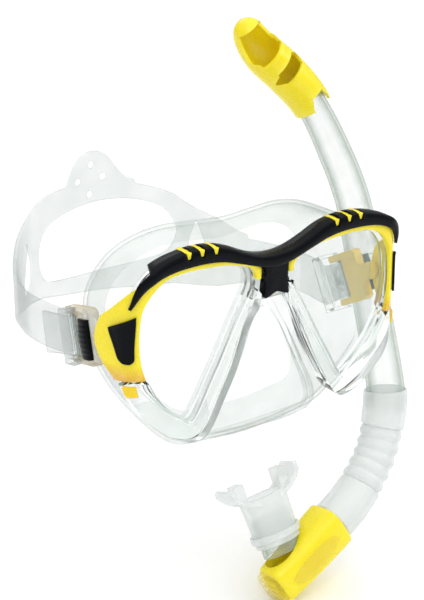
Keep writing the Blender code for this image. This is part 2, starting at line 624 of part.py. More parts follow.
def station(s):
    """A point on the snorkel's centre line with its direction and two axes across it."""
    at, direction = along_line(s)
    back = (BEND_NORMAL - direction * BEND_NORMAL.dot(direction)).normalized()
    return at, direction, back, direction.cross(back)


def loop_at(s, width, depth=None, count=24, power=2.0):
    """A loop across the snorkel: a circle, or with a higher power a rounded rectangle."""
    depth = depth or width
    at, _, back, out = station(s)
    loop = []
    for i in range(count):
        turn = 2 * math.pi * i / count
        c, n = math.cos(turn), math.sin(turn)
        grow = (abs(c) ** power + abs(n) ** power) ** (-1 / power)
        loop.append(tuple(at + out * (width * grow * c) + back * (depth * grow * n)))
    return loop


def pipe(name, outer, inner, look, body, count=24):
    """A pipe along the snorkel from (place, radius) rows: outside forwards, then inside backwards."""
    rows = [loop_at(s, r, count=count) for s, r in outer]
    rows += [loop_at(s, r, count=count) for s, r in reversed(inner)]
    return sweep(name, rows, look, body, closed=True)


def tube(look, body):
    stops = list(np.linspace(TUBE_START, TUBE_END, 17))
    outer = [(s, blend(TUBE_RADIUS, s)) for s in stops]
    inner = [(s, r - TUBE_WALL) for s, r in outer]
    pipe("tube", outer, inner, look, body, 20)


GUARD_RADIUS = [(0, 2.5), (1.5, 5.2), (4, 7.4), (8, 9.2), (14, 10.6), (24, 11.7), (36, 12.1), (50, 12.0),
                (60, 11.7), (68, 11.4)]


def splash_guard(look, body):
    """The slotted guard on the open end of the tube."""
    stops = [0, 1.5, 4, 8, 14, 20, 26, 32, 38, 44, 50, 56, 62, 68]
    rows = [loop_at(s, max(blend(GUARD_RADIUS, s) - 1.8, 1.4)) for s in stops if s > 2]
    rows += [loop_at(s, blend(GUARD_RADIUS, s)) for s in reversed(stops)]
    made = sweep("splash_guard", rows, look, body)
    slots = {"mouth_slot": (5, 25, 12.5, 0.62), "middle_slot": (33, 42, 11.0, 0.3), "foot_notch": (60, 74, 6.5, -0.2)}
    for name, (start, end, half, lean) in slots.items():
        combine(made, slot_cutter(name, start, end, half, lean, look, body), "DIFFERENCE")


def slot_cutter(name, start, end, half, lean, look, body):
    """A slot through the guard's front, from its middle outwards."""
    rows = []
    for s in np.linspace(start, end, 5):
        at, direction, back, out = station(float(s))
        share = math.sin(math.pi * min(max((s - start) / (end - start), 0.12), 0.88))
        wide = half * (0.55 + 0.45 * share)
        side = out * -lean
        near, far = at - back * 1.0, at - back * 22
        rows.append([tuple(near + out * -wide + side), tuple(far + out * -wide + side),
                     tuple(far + out * wide + side), tuple(near + out * wide + side)])
    return sweep(name, rows, look, body)


def hose_collar(look, body):
    room = blend(TUBE_RADIUS, 262) + GAP
    pipe("hose_collar", [(250, 13.2), (252, 13.4), (262, 13.4), (271, 13.2), (273, 12.8)],
         [(250, room), (256, room), (262.4, room), (262.6, 10.4), (273, 10.4)], look, body)


def corrugated_hose(look, body):
    outer, inner = [], []
    steps = HOSE_RINGS * 4
    for k in range(steps + 1):
        s = HOSE_START + (HOSE_END - HOSE_START) * k / steps
        swell = 0.5 - 0.5 * math.cos(2 * math.pi * HOSE_RINGS * k / steps)
        outer.append((s, 11.6 + 1.3 * swell))
        inner.append((s, 10.2 + 1.2 * swell))
    pipe("corrugated_hose", outer, inner, look, body, 20)


def lower_cuff(look, body):
    pipe("lower_cuff", [(312, 12.4), (314, 12.9), (327, 13.1), (340.6, 13.1), (341, 11.3), (349, 11.1)],
         [(312, 10.4), (326, 10.2), (341, 9.8), (349, 9.6)], look, body)


HOUSING = [(341.4, 13.9, 13.4), (350, 13.8, 13.2), (362, 13.3, 12.7), (376, 12.7, 12.0), (389, 12.1, 11.2),
           (394, 11.7, 10.6)]


def housing_loop(s, shrink=0.0):
    width = blend([(r[0], r[1]) for r in HOUSING], s) - shrink
    depth = blend([(r[0], r[2]) for r in HOUSING], s) - shrink
    return loop_at(s, width, depth, 32, 3.4)


def mouth_point(w, h, t):
    """A point in the mouthpiece's own axes: across its width, up its height, out along its stem."""
    across = (MOUTH_WIDTH - MOUTH_AXIS * MOUTH_WIDTH.dot(MOUTH_AXIS)).normalized()
    return tuple(MOUTH_ROOT + across * w + MOUTH_AXIS.cross(across) * h + MOUTH_AXIS * t)


def oval(width, height, t, count=32):
    return [mouth_point(width * math.cos(a), height * math.sin(a), t)
            for a in (2 * math.pi * i / count for i in range(count))]


def valve_housing(look, body):
    """The tapered chamber under the tube: open to the cuff, the mouthpiece and the drain."""
    stops = [341.4, 343, 350, 362, 376, 389, 393, 394]
    rim = {394: 1.2, 341.4: 0.8}
    rows = [housing_loop(s, rim.get(s, 0.0)) for s in stops]
    made = sweep("valve_housing", rows, look, body)
    hollow = [loop_at(s, r, r) for s, r in ((338, 11.65), (350, 11.65), (350.2, 10.9), (386, 9.6), (386.2, 8.2),
                                            (399, 8.2))]
    combine(made, sweep("housing_hollow", hollow, look, body), "DIFFERENCE")
    port = sweep("port_hole", [oval(12.6, 8.6, 2), oval(12.6, 8.6, 30)], look, body)
    combine(made, port, "DIFFERENCE")


def mouth_port(look, body):
    """The clear connector between the chamber and the mouthpiece."""
    made = sweep("mouth_port", [oval(12.2, 8.2, 11.0), oval(12.2, 8.2, 33)], look, body)
    combine(made, sweep("port_bore", [oval(10.2, 6.3, 0), oval(10.2, 6.3, 40)], look, body), "DIFFERENCE")
    clear = [loop_at(s, r, r) for s, r in ((338, 10.4), (386, 9.3))]
    combine(made, sweep("port_room", clear, look, body), "DIFFERENCE")


def mouthpiece(look, body):
    """The soft mouthpiece: a sleeve over the connector, a curved flange and two bite tabs."""
    rows = [oval(14.4, 10.4, 17.5), oval(14.6, 10.6, 24), oval(15.0, 10.2, 36), oval(16.0, 9.6, 46.5)]
    made = sweep("mouthpiece", rows, look, body)
    front, back = [], []
    for k in range(15):
        turn = math.radians(-78 + 156 * k / 14)
        w, t = 23.5 * math.sin(turn), 62 - 18 * math.cos(turn)
        nw, nt = math.sin(turn), -math.cos(turn)
        tall = 10.6 - 2.2 * math.cos(turn) ** 4 if abs(turn) < 1.2 else 9.0
        rows = [tall * j / 2 for j in (-2, -1, 0, 1, 2)]
        front.append([mouth_point(w, h, t) for h in rows])
        back.append([mouth_point(w + nw * 2.4, h, t + nt * 2.4) for h in rows])
    combine(made, slab("flange", front, back, look, body), "UNION")
    for side in (1, -1):
        stem = box(f"bite_stem_{side}", (side * 15 - 3, -4.6, 46.6), (side * 15 + 3, 4.6, 58), look, body, mouth_point)
        combine(made, stem, "UNION")
    room = [housing_loop(s, -0.4) for s in (338, 350, 362, 376, 389, 396)]
    combine(made, sweep("housing_room", room, look, body), "DIFFERENCE")
    combine(made, sweep("mouth_bore", [oval(12.6, 8.6, 10), oval(12.6, 8.6, 33.4)], look, body), "DIFFERENCE")
    combine(made, sweep("mouth_way", [oval(11.0, 6.6, 30), oval(12.0, 6.0, 60)], look, body), "DIFFERENCE")


def mouth_tie(look, body):
    made = sweep("mouthpiece_tie", [oval(16.2, 12.2, 21), oval(16.2, 12.2, 25)], look, body)
    combine(made, sweep("tie_bore", [oval(14.95, 10.95, 19), oval(14.95, 10.95, 27)], look, body), "DIFFERENCE")


def purge(looks, body, valve_body):
    """The drain at the chamber's foot: a seat, a soft flap and a clear vented cap."""
    pipe("valve_seat", [(386.5, 7.9), (388.5, 7.9)], [(386.5, 5.2), (388.5, 5.2)], looks["clear"], body)
    rows = [loop_at(389.0, 6.6), loop_at(390.0, 6.6)]
    sweep("purge_valve", rows, looks["silicone"], valve_body)
    cap = sweep("purge_cover", [housing_loop(394.3, 1.2), housing_loop(397, 1.6), housing_loop(398, 3)],
                looks["clear"], body)
    for k in range(3):
        at, _, back, out = station(396)
        low = [tuple(at + out * (5 * (k - 1) + u) + back * v) for u, v in ((-1, -7), (1, -7), (1, 7), (-1, 7))]
        ends = [[tuple(Vector(p) + station(396)[1] * w) for p in low] for w in (-6, 6)]
        combine(cap, sweep(f"vent_{k}", ends, looks["clear"], body), "DIFFERENCE")


def housing_window(look, body):
    """The clear oval panel laid on the chamber's front face."""
    rows = []
    for lift in (GAP, 1.3):
        rows.append(panel_loop(lift))
    sweep("housing_window", rows, look, body)


def panel_loop(lift):
    loop = []
    for i in range(24):
        turn = 2 * math.pi * i / 24
        s = 368 + 18.5 * math.cos(turn)
        at, _, back, out = station(s)
        depth = blend([(r[0], r[2]) for r in HOUSING], s)
        loop.append(tuple(at + out * (6.3 * math.sin(turn)) - back * (depth + lift)))
    return loop


def keeper_clip(look, body):
    """The ring that holds the tube, with the arm that turns on the slide's stud."""
    room = blend(TUBE_RADIUS, KEEPER_S) + GAP
    made = pipe("keeper_clip", [(168, room + 2.2), (180, room + 2.2)], [(168, room), (180, room)], look, body)
    _, y, z = KEEPER_PIVOT
    arm = box("keeper_arm", (98.1, y - 5, z - 5), (102.4, y + 5, z + 8), look, body)
    combine(made, arm, "UNION")
    hole = prism("keeper_bore", circle(2.9, 20, (y, z)), 90, 101.8, look, lambda u, v, w: (w, u, v), body)
    combine(made, hole, "DIFFERENCE")


def main():
    clear_scene()
    looks = {
        "yellow": material("yellow_plastic", (0.93, 0.72, 0.02), 0.3),
        "amber": material("amber_plastic", (0.85, 0.58, 0.03), 0.3, 0.8),
        "black": material("black_plastic", (0.02, 0.022, 0.028), 0.4),
        "clear": material("clear_plastic", (0.86, 0.9, 0.88), 0.08, 0.5),
        "glass": material("tempered_glass", (0.9, 0.95, 0.93), 0.02, 0.25),
        "silicone": material("clear_silicone", (0.85, 0.9, 0.87), 0.3, 0.6),
        "steel": material("steel", (0.6, 0.6, 0.6), 0.3),
        "hose": material("milky_silicone", (0.9, 0.92, 0.9), 0.4, 0.8),
    }
    strap_body = pivot("strap_pivot", (0, PIVOT_Y, PIVOT_Z))
    main_frame(looks["clear"])
    brow_trim(looks["black"])
    skirt(looks["silicone"])
    for side in (1, -1):
        lens(side, looks["glass"])
        colour_bezel(side, looks["yellow"])
        side_insert(side, looks["black"])
        bezel_clip(side, looks["amber"])
        button_body = pivot("button_pivot_left" if side > 0 else "button_pivot_right",
                            bracket_place(side)(17, 0, 94), strap_body)
        buckle(side, looks, strap_body, button_body)
    strap(looks["silicone"], strap_body)
    keeper_slide(looks["clear"], strap_body)
    keeper_body = pivot("keeper_pivot", KEEPER_PIVOT, strap_body)
    keeper_clip(looks["clear"], keeper_body)
    snorkel_body = pivot("snorkel_pivot", tuple(along_line(KEEPER_S)[0]), keeper_body)
    tube(looks["clear"], snorkel_body)
    splash_guard(looks["yellow"], snorkel_body)
    hose_collar(looks["hose"], snorkel_body)
    corrugated_hose(looks["hose"], snorkel_body)
    mouth_body = pivot("mouth_pivot", tuple(along_line((HOSE_START + HOSE_END) / 2)[0]), snorkel_body)
    lower_cuff(looks["hose"], mouth_body)
    valve_housing(looks["yellow"], mouth_body)
    housing_window(looks["clear"], mouth_body)
    mouth_port(looks["clear"], mouth_body)
    mouthpiece(looks["hose"], mouth_body)
    mouth_tie(looks["clear"], mouth_body)
    valve_body = pivot("valve_pivot", tuple(along_line(389.5)[0]), mouth_body)
    purge(looks, mouth_body, valve_body)


main()
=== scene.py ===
"""The looks of the diving mask and snorkel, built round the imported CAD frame.

Shapes are written in millimetres in the frame's own axes (+X the wearer's left, +Y towards the face,
+Z up) and scaled to metres when a mesh is made.
"""

import math

import bmesh
import bpy
import numpy as np
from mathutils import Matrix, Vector


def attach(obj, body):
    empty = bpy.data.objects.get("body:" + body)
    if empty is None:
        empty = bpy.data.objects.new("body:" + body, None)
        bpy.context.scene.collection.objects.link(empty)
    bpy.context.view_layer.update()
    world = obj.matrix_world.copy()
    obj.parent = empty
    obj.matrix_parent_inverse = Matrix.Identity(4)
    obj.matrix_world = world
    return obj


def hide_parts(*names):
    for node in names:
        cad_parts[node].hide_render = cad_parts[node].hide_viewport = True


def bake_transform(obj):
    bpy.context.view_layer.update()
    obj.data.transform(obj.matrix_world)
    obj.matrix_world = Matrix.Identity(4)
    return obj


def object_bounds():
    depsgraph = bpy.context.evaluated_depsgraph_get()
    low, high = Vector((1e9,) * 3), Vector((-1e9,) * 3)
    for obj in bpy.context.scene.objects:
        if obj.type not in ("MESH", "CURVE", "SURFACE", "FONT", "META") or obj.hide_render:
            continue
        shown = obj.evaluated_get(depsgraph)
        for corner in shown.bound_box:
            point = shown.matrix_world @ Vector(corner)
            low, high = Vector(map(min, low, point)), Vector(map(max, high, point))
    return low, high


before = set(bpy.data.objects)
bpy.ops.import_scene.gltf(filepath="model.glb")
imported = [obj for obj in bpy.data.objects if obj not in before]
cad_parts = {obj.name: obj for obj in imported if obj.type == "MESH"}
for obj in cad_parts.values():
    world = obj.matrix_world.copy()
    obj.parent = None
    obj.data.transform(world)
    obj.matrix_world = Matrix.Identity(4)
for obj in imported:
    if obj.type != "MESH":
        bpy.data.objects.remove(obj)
CAD_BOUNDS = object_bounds()

MM = 0.001
GAP = 0.3
GROOVE_GAP = 0.36
BUTTON_IN, BUTTON_OUT = 8.8, 17.6

# ---------------------------------------------------------------- numbers shared with the CAD model

FRONT_Y = -50.0
BEZEL_DEPTH = 3.8
LIP_BACK = 5.3
LENS_GLASS = 3.0
LENS_LAP = 1.2
FRAME_DEPTH = 11.0
BEND_START = 74.0
BEND_RADIUS = 16.0
BEND_ANGLE = math.radians(72)
SKIRT_WALL = 2.2

PIVOT_Y = FRONT_Y + 21.6
PIVOT_Z = -8.0
DROOP = {1: math.radians(28), -1: math.radians(12)}
ARM_IN, ARM_OUT = 83.8, 86.4
FORK_OUT = 91.0
ROLLER_X, ROLLER_A, ROLLER_R = 89.4, 29.0, 2.2
STRAP_THICK = 2.0

TUBE_WALL = 1.7
KEEPER_S = 174.0
KEEPER_PIVOT = (99.6, 11.4, -29.2)
HOSE_START, HOSE_END = 273.4, 311.6
HOSE_RINGS = 5

# Outlines seen from the front, for the wearer's left lens; the other side mirrors them.
LENS_OPENING = [
    (11.5, 9), (12.5, 16.5), (18, 21.5), (30, 24.8), (43, 26), (55, 26.3), (66, 24.7), (75, 19.5),
    (80.8, 9.5), (82, -3), (81.5, -14), (78, -27), (71, -39), (62, -48.5), (54, -55), (49.5, -57),
    (45, -52), (38, -39.5), (31, -27.5), (25, -16.5), (19, -5.5), (14.5, 2),
]
FRAME_EDGE = [
    (9.2, 6.5), (8.8, 18.5), (15, 24.5), (29, 28.6), (43, 30.4), (56.5, 30.2), (68.5, 29), (78, 24.2),
    (86.5, 14.5), (88.5, -2), (89, -14), (88.5, -28), (83, -41.5), (74, -52), (62, -62), (48.5, -66.5),
    (40.5, -61), (32, -46), (25, -33), (20, -21), (15, -8), (10.5, -1.5),
]
BEZEL_FIRST, BEZEL_LAST = 0.2, 10.75
# The bezel's two edges in (distance round the bend, height)
BEZEL_IN = [
    (11.9, 13.5), (13.2, 18), (18, 21.5), (30, 24.8), (43, 26), (55, 26.3), (66, 24.7), (74.5, 19.6),
    (80, 12.5), (81.8, 5.5), (82.6, -3), (82.5, -11), (81.5, -18.5), (79.6, -25),
]
BEZEL_OUT = [
    (9.0, 13.5), (9.4, 19.5), (15.3, 24.4), (29, 28.4), (43, 30.2), (56.5, 30.2), (69, 29), (79.8, 25.2),
    (89, 19.2), (99.5, 10.4), (106.3, 4.4), (110, -7), (106, -17.5), (98, -26),
]
# The brow trim's lower edge, and its height above that edge
TRIM_PATH = [(0, 19), (8, 20), (15, 22), (24, 25), (34, 28), (44, 29.3), (54, 29.4), (64, 28.6),
             (73, 26.2), (80.3, 21.6), (86, 12.6)]
TRIM_HEIGHT = [7, 6.6, 6.2, 6.6, 8, 8.6, 8.4, 7.4, 6.2, 5, 1.0]
GROOVES = (38.8, 47.2, 55)
# The parts of a groove's cut and of the tooth in it: name, lower and upper end above the bezel, nearest
# and farthest depth behind the frame's front, extra half width
NOTCHES = (("rear", 1.7, 9.5, 0.4, 14, 0.08), ("front", 2.95, 9.8, -6, 1.1, 0))
TEETH = (("root", -1.5, 5.0, 1.2, 3.6, 0.0), ("tooth", 0.9, 6.8, 1.7, 8.2, -0.05),
         ("face", 3.4, 6.6, -1.4, 2.6, -0.1))

# The skirt's rings, top middle to bottom middle: (x, depth behind the frame's front, z)
SKIRT_FRONT = [(0, 12.5, 24), (14, 12.5, 25.5), (30, 12.5, 28), (48, 12.5, 29), (64, 12.5, 26.5),
               (75, 12.5, 19), (80.5, 12.5, 6), (80.5, 12.5, -12), (77, 12.5, -30), (66, 12.5, -49),
               (49, 12.5, -62), (25, 12.5, -66), (0, 12.5, -66)]
SKIRT_MIDDLE = [(0, 27, 29), (15, 27, 30.5), (32, 27, 32.5), (50, 27, 32), (66, 28, 27.5),
                (77, 29, 17), (81.8, 30, 3), (82, 30, -14), (79, 29, -33), (69, 26, -53),
                (50, 19, -72), (26, 16, -76), (0, 15, -77)]
SKIRT_SEAL = [(0, 47, 33), (18, 48, 34), (38, 50, 34.5), (55, 52, 31), (68, 55, 23), (77, 57, 11),
              (80.5, 58, -2), (80, 57, -18), (76, 53, -37), (65, 45, -58), (47, 31, -79),
              (25, 29, -82.5), (0, 28, -83)]
SKIRT_LIP = [(0, 50, 21), (14, 51, 22), (30, 53, 22.5), (44, 55, 19.5), (56, 58, 12), (63, 60, 3),
             (66, 61, -7), (66, 60, -20), (62, 57, -35), (52, 50, -51), (39, 37, -65), (22, 35, -68),
             (0, 34, -69)]
# Nose pocket sections: height, half width at its root, half width at its face, depth of its face
NOSE = [(-5, 8, 3.5, 9.5), (-20, 16.2, 8.5, 6), (-40, 24.5, 14, 3), (-57, 32, 19, 1.5),
        (-69, 35, 21, 4), (-74.5, 33, 19, 9)]

# The strap's path seen from above, and its outline, by distance from its middle behind the head
STRAP_PATH = [(0, 122), (40, 115), (65, 100), (82, 78), (91, 52), (92.3, 36), (91, 25)]
STRAP_EDGES = [(0, -46, 21), (20, -46, 21), (32, -45.5, 19.5), (48, -44, 15), (57, -44, 9.5),
               (67, -44, 4.5), (77, -44, 0), (88, -41.5, -6), (100, -38, -9.5), (120, -36, -11.5),
               (400, -36, -11.5)]
STRAP_TILT = 0.108
TAB = [(-26, -99), (-24, 21), (-21, 29), (-18, 34), (-14, 38.5), (-9, 41.3), (-4, 42), (2, 41), (7, 37),
       (11, 31.5), (15, 26.5), (20, 22.5), (24, 21), (26, -99)]
EYE = [(-51, -16, -12), (-49, -23, -4.5), (-45, -28.5, 0.8), (-38, -31.3, 5), (-24, -33, 9),
       (-8, -33.6, 10.8), (8, -33.3, 10.8), (24, -32.2, 8.5), (37, -30.2, 4), (44, -27.5, -1),
       (48.5, -22, -8), (50.5, -16, -12.5)]
SLIT = [(58.5, -14), (61.5, -4), (63.5, -1), (68, -14), (72.5, -27), (70, -30.5), (63.5, -30), (59.5, -25)]
TAB_HOLES = [(-5, 34), (-15, 25), (3, 25.5), (-6.5, 16)]

# The snorkel's centre line, from the guard's tip to the foot of the housing
SNORKEL_PATH = [
    (42, 37, 126), (54, 34, 109), (68, 31, 96), (81, 28, 82), (90, 25, 67), (99, 22, 48),
    (106, 18, 29), (111, 14, 8), (116, 4, -42), (120, -6, -88), (119.5, -9, -103), (115, -12, -120),
    (107, -15, -136), (94, -18, -150), (84, -20, -158), (68, -21.5, -167), (44, -24, -180),
    (21, -26, -192),
]
TUBE_START, TUBE_END = 52.0, 262.0
TUBE_RADIUS = [(52, 8.7), (72, 9.0), (100, 9.9), (150, 10.8), (200, 11.2), (262, 11.8)]
GUARD_RADIUS = [(0, 2.5), (1.5, 5.2), (4, 7.4), (8, 9.2), (14, 10.6), (24, 11.7), (36, 12.1), (50, 12.0),
                (60, 11.7), (68, 11.4)]
# The guard's slots: start and end along the snorkel, half width, lean to the side
GUARD_SLOTS = {"mouth_slot": (5, 25, 12.5, 0.62), "middle_slot": (33, 42, 11.0, 0.3),
               "foot_notch": (60, 74, 6.5, -0.2)}
# The valve housing's half width and half depth along the snorkel
HOUSING = [(341.4, 13.9, 13.4), (350, 13.8, 13.2), (362, 13.3, 12.7), (376, 12.7, 12.0), (389, 12.1, 11.2),
           (394, 11.7, 10.6)]
MOUTH_ROOT = Vector((33, -25, -184))
MOUTH_AXIS = Vector((-0.107, 0.427, 0.897)).normalized()
MOUTH_WIDTH = Vector((1, -0.02, 0.11)).normalized()
BEND_NORMAL = Vector((0, 1, -0.2)).normalized()


# ---------------------------------------------------------------- mesh helpers

def solid(name, points, faces):
    """A closed mesh object from points in millimetres."""
    mesh = bpy.data.meshes.new(name)
    mesh.from_pydata([tuple(float(c) * MM for c in p) for p in points], [], faces)
    shape = bmesh.new()
    shape.from_mesh(mesh)
    bmesh.ops.recalc_face_normals(shape, faces=shape.faces)
    if shape.calc_volume(signed=True) < 0:
        bmesh.ops.reverse_faces(shape, faces=shape.faces)
    shape.to_mesh(mesh)
    shape.free()
    made = bpy.data.objects.new(name, mesh)
    bpy.context.collection.objects.link(made)
    return made


def settle(target):
    """Puts the modifiers' result into the mesh."""
    scene_now = bpy.context.evaluated_depsgraph_get()
    mesh = bpy.data.meshes.new_from_object(target.evaluated_get(scene_now), depsgraph=scene_now)
    target.modifiers.clear()
    target.data = mesh


def combine(target, others, operation):
    """Joins or cuts target with other objects, which are used up."""
    for other in others:
        modifier = target.modifiers.new("bool", "BOOLEAN")
        modifier.operation = operation
        modifier.solver = "EXACT"
        modifier.object = other
    settle(target)
    for other in others:
        bpy.data.objects.remove(other, do_unlink=True)
    return target


def piece(made, look, body, nodes, round_by=0.35, steps=2, sharp=40):
    """Rounds the edges, gives the material and hangs the piece on its CAD body."""
    if round_by:
        shape = bmesh.new()
        shape.from_mesh(made.data)
        bmesh.ops.remove_doubles(shape, verts=shape.verts, dist=2e-6)
        bmesh.ops.dissolve_degenerate(shape, edges=shape.edges, dist=2e-6)
        shape.to_mesh(made.data)
        shape.free()
        bevel = made.modifiers.new("round", "BEVEL")
        bevel.width = round_by * MM
        bevel.segments = steps
        bevel.limit_method = "ANGLE"
        bevel.angle_limit = math.radians(sharp)
        bevel.use_clamp_overlap = True
        bevel.miter_outer = "MITER_ARC"
        settle(made)
    made.data.materials.clear()
    made.data.materials.append(look)
    made.data.shade_smooth()
    made.data.set_sharp_from_angle(angle=math.radians(sharp))
    if body:
        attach(made, body)
    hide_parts(*([nodes] if isinstance(nodes, str) else nodes))
    return made


def smooth(points, count, closed=False):
    """Points on a Catmull-Rom curve through the given ones, evenly spaced by station."""
    given = np.array(points, float)
    size = len(given)
    spans = size if closed else size - 1
    out = []
    for i in range(count):
        at = spans * i / (count if closed else count - 1)
        k = min(int(at), spans - 1)
        t = at - k
        if closed:
            a, b, c, d = (given[(k + j) % size] for j in (-1, 0, 1, 2))
        else:
            b, c = given[k], given[k + 1]
            a = given[k - 1] if k else 2 * b - c
            d = given[k + 2] if k + 2 < size else 2 * c - b
        out.append(0.5 * (2 * b + (c - a) * t + (2 * a - 5 * b + 4 * c - d) * t ** 2
                          + (3 * b - a - 3 * c + d) * t ** 3))
    return np.array(out)


def blend(table, at):
    return float(np.interp(at, [row[0] for row in table], [row[1] for row in table]))


def soft_blend(table, at):
    """As blend, but read from a smooth curve through the table."""
    rows = smooth(table, 8 * len(table))
    return float(np.interp(at, rows[:, 0], rows[:, 1]))


def ring_faces(rows, columns, closed_rows, closed_columns):
    faces = []
    for r in range(rows if closed_rows else rows - 1):
        for c in range(columns if closed_columns else columns - 1):
            here, right = r * columns + c, r * columns + (c + 1) % columns
            below = ((r + 1) % rows) * columns
            faces.append((here, right, below + (c + 1) % columns, below + c))
    return faces


def sweep(name, sections, closed=False):
    rows, columns = len(sections), len(sections[0])
    points = [p for section in sections for p in section]
    faces = ring_faces(rows, columns, closed, True)
    if not closed:
        faces.append(tuple(range(columns)))
        faces.append(tuple(range((rows - 1) * columns, rows * columns)))
    return solid(name, points, faces)


def slab(name, front, back):
    return sweep(name, [list(f) + list(reversed(b)) for f, b in zip(front, back)])


def prism(name, outline, near, far, place=lambda u, v, w: (u, w, v)):
    return sweep(name, [[place(u, v, w) for u, v in outline] for w in (near, far)])


def box(name, low, high, place=lambda u, v, w: (u, v, w)):
    corners = [(low[0], low[1]), (high[0], low[1]), (high[0], high[1]), (low[0], high[1])]
    return sweep(name, [[place(u, v, w) for u, v in corners] for w in (low[2], high[2])])


def circle(radius, count, centre=(0, 0)):
    turns = [2 * math.pi * i / count for i in range(count)]
    return [(centre[0] + radius * math.cos(t), centre[1] + radius * math.sin(t)) for t in turns]


def mirrored(side, points):
    return [(side * p[0], *p[1:]) for p in points]


def grown(outline, by):
    points = np.array(outline, float)
    along = np.roll(points, -1, axis=0) - np.roll(points, 1, axis=0)
    along /= np.linalg.norm(along, axis=1)[:, None]
    return points + by * np.stack([-along[:, 1], along[:, 0]], axis=1)


def tag(side):
    return "left" if side > 0 else "right"


# ---------------------------------------------------------------- materials

def start_material(name):
    made = bpy.data.materials.new(name)
    made.use_nodes = True
    tree = made.node_tree
    return made, tree, tree.nodes["Principled BSDF"]


def node(tree, kind, links=(), **values):
    """A node with its inputs set; links are (input, socket) pairs."""
    made = tree.nodes.new(kind)
    for key, value in values.items():
        if hasattr(made, key):
            setattr(made, key, value)
        else:
            made.inputs[key.replace("_", " ").title()].default_value = value
    for name, socket in links:
        tree.links.new(socket, made.inputs[name])
    return made


def noise(tree, scale, detail=3.0, roughness=0.5, stretch=None):
    place = tree.nodes.new("ShaderNodeTexCoord").outputs["Object"]
    if stretch:
        place = node(tree, "ShaderNodeMapping", [("Vector", place)], scale=stretch).outputs["Vector"]
    return node(tree, "ShaderNodeTexNoise", [("Vector", place)], scale=scale, detail=detail,
                roughness=roughness).outputs["Fac"]


def ramp(tree, socket, stops):
    made = tree.nodes.new("ShaderNodeValToRGB")
    tree.links.new(socket, made.inputs["Fac"])
    bar = made.color_ramp
    while len(bar.elements) < len(stops):
        bar.elements.new(0.5)
    for element, (at, colour) in zip(bar.elements, stops):
        element.position = at
        element.color = (*colour, 1.0) if len(colour) == 3 else colour
    return made.outputs["Color"]


def spread(tree, socket, low, high, near=0.3, far=0.7):
    made = tree.nodes.new("ShaderNodeMapRange")
    tree.links.new(socket, made.inputs["Value"])
    made.inputs["From Min"].default_value = near
    made.inputs["From Max"].default_value = far
    made.inputs["To Min"].default_value = low
    made.inputs["To Max"].default_value = high
    return made.outputs["Result"]


def mixed(tree, share, a, b, mode="MIX"):
    made = tree.nodes.new("ShaderNodeMix")
    made.data_type = "RGBA"
    made.blend_type = mode
    for index, value in ((0, share), (6, a), (7, b)):
        if isinstance(value, bpy.types.NodeSocket):
            tree.links.new(value, made.inputs[index])
        else:
            made.inputs[index].default_value = value if index == 0 else (*value, 1.0)
    return made.outputs[2]


def math_node(tree, operation, a, b):
    made = tree.nodes.new("ShaderNodeMath")
    made.operation = operation
    made.use_clamp = True
    for index, value in ((0, a), (1, b)):
        if isinstance(value, bpy.types.NodeSocket):
            tree.links.new(value, made.inputs[index])
        else:
            made.inputs[index].default_value = value
    return made.outputs[0]


def bump(tree, shader, height, strength, distance):
    made = tree.nodes.new("ShaderNodeBump")
    made.inputs["Strength"].default_value = strength
    made.inputs["Distance"].default_value = distance
    tree.links.new(height, made.inputs["Height"])
    tree.links.new(made.outputs["Normal"], shader.inputs["Normal"])


def grained(tree, shader, fine, low, high, strength, distance):
    """Fine grain in the roughness and the bump."""
    tree.links.new(spread(tree, fine, low, high), shader.inputs["Roughness"])
    bump(tree, shader, fine, strength, distance)


def plastic(name, colour, shade, edge, roughness, grain=900.0, strength=0.08, specular=0.5, subsurface=0.0):
    """Moulded plastic: slow colour drift, lighter worn edges, fine grain in roughness and bump."""
    made, tree, shader = start_material(name)
    drift = noise(tree, 45.0, 4.0, 0.6)
    body = ramp(tree, drift, [(0.25, shade), (0.75, colour)])
    point = tree.nodes.new("ShaderNodeNewGeometry").outputs["Pointiness"]
    worn = spread(tree, point, 0.0, 0.7, 0.53, 0.62)
    tree.links.new(mixed(tree, worn, body, edge), shader.inputs["Base Color"])
    fine = noise(tree, grain, 5.0, 0.65)
    grained(tree, shader, fine, roughness - 0.07, roughness + 0.08, strength, 0.00025)
    shader.inputs["Specular IOR Level"].default_value = specular
    if subsurface:
        shader.inputs["Subsurface Weight"].default_value = subsurface
        shader.inputs["Subsurface Radius"].default_value = (0.004, 0.002, 0.0006)
        shader.inputs["Subsurface Scale"].default_value = 1.0
    return made


def clear_plastic(name, colour, deep, roughness, index=1.47):
    """Clear moulded plastic that bends what is seen through it, with faint flow marks."""
    made, tree, shader = start_material(name)
    flow = noise(tree, 60.0, 3.0, 0.55, (1.0, 1.0, 0.35))
    tree.links.new(ramp(tree, flow, [(0.3, deep), (0.65, colour)]), shader.inputs["Base Color"])
    fine = noise(tree, 420.0, 4.0, 0.6)
    rough = spread(tree, fine, max(roughness - 0.02, 0.0), roughness + 0.05)
    tree.links.new(rough, shader.inputs["Roughness"])
    bump(tree, shader, flow, 0.05, 0.0004)
    shader.inputs["Transmission Weight"].default_value = 1.0
    shader.inputs["IOR"].default_value = index
    return made


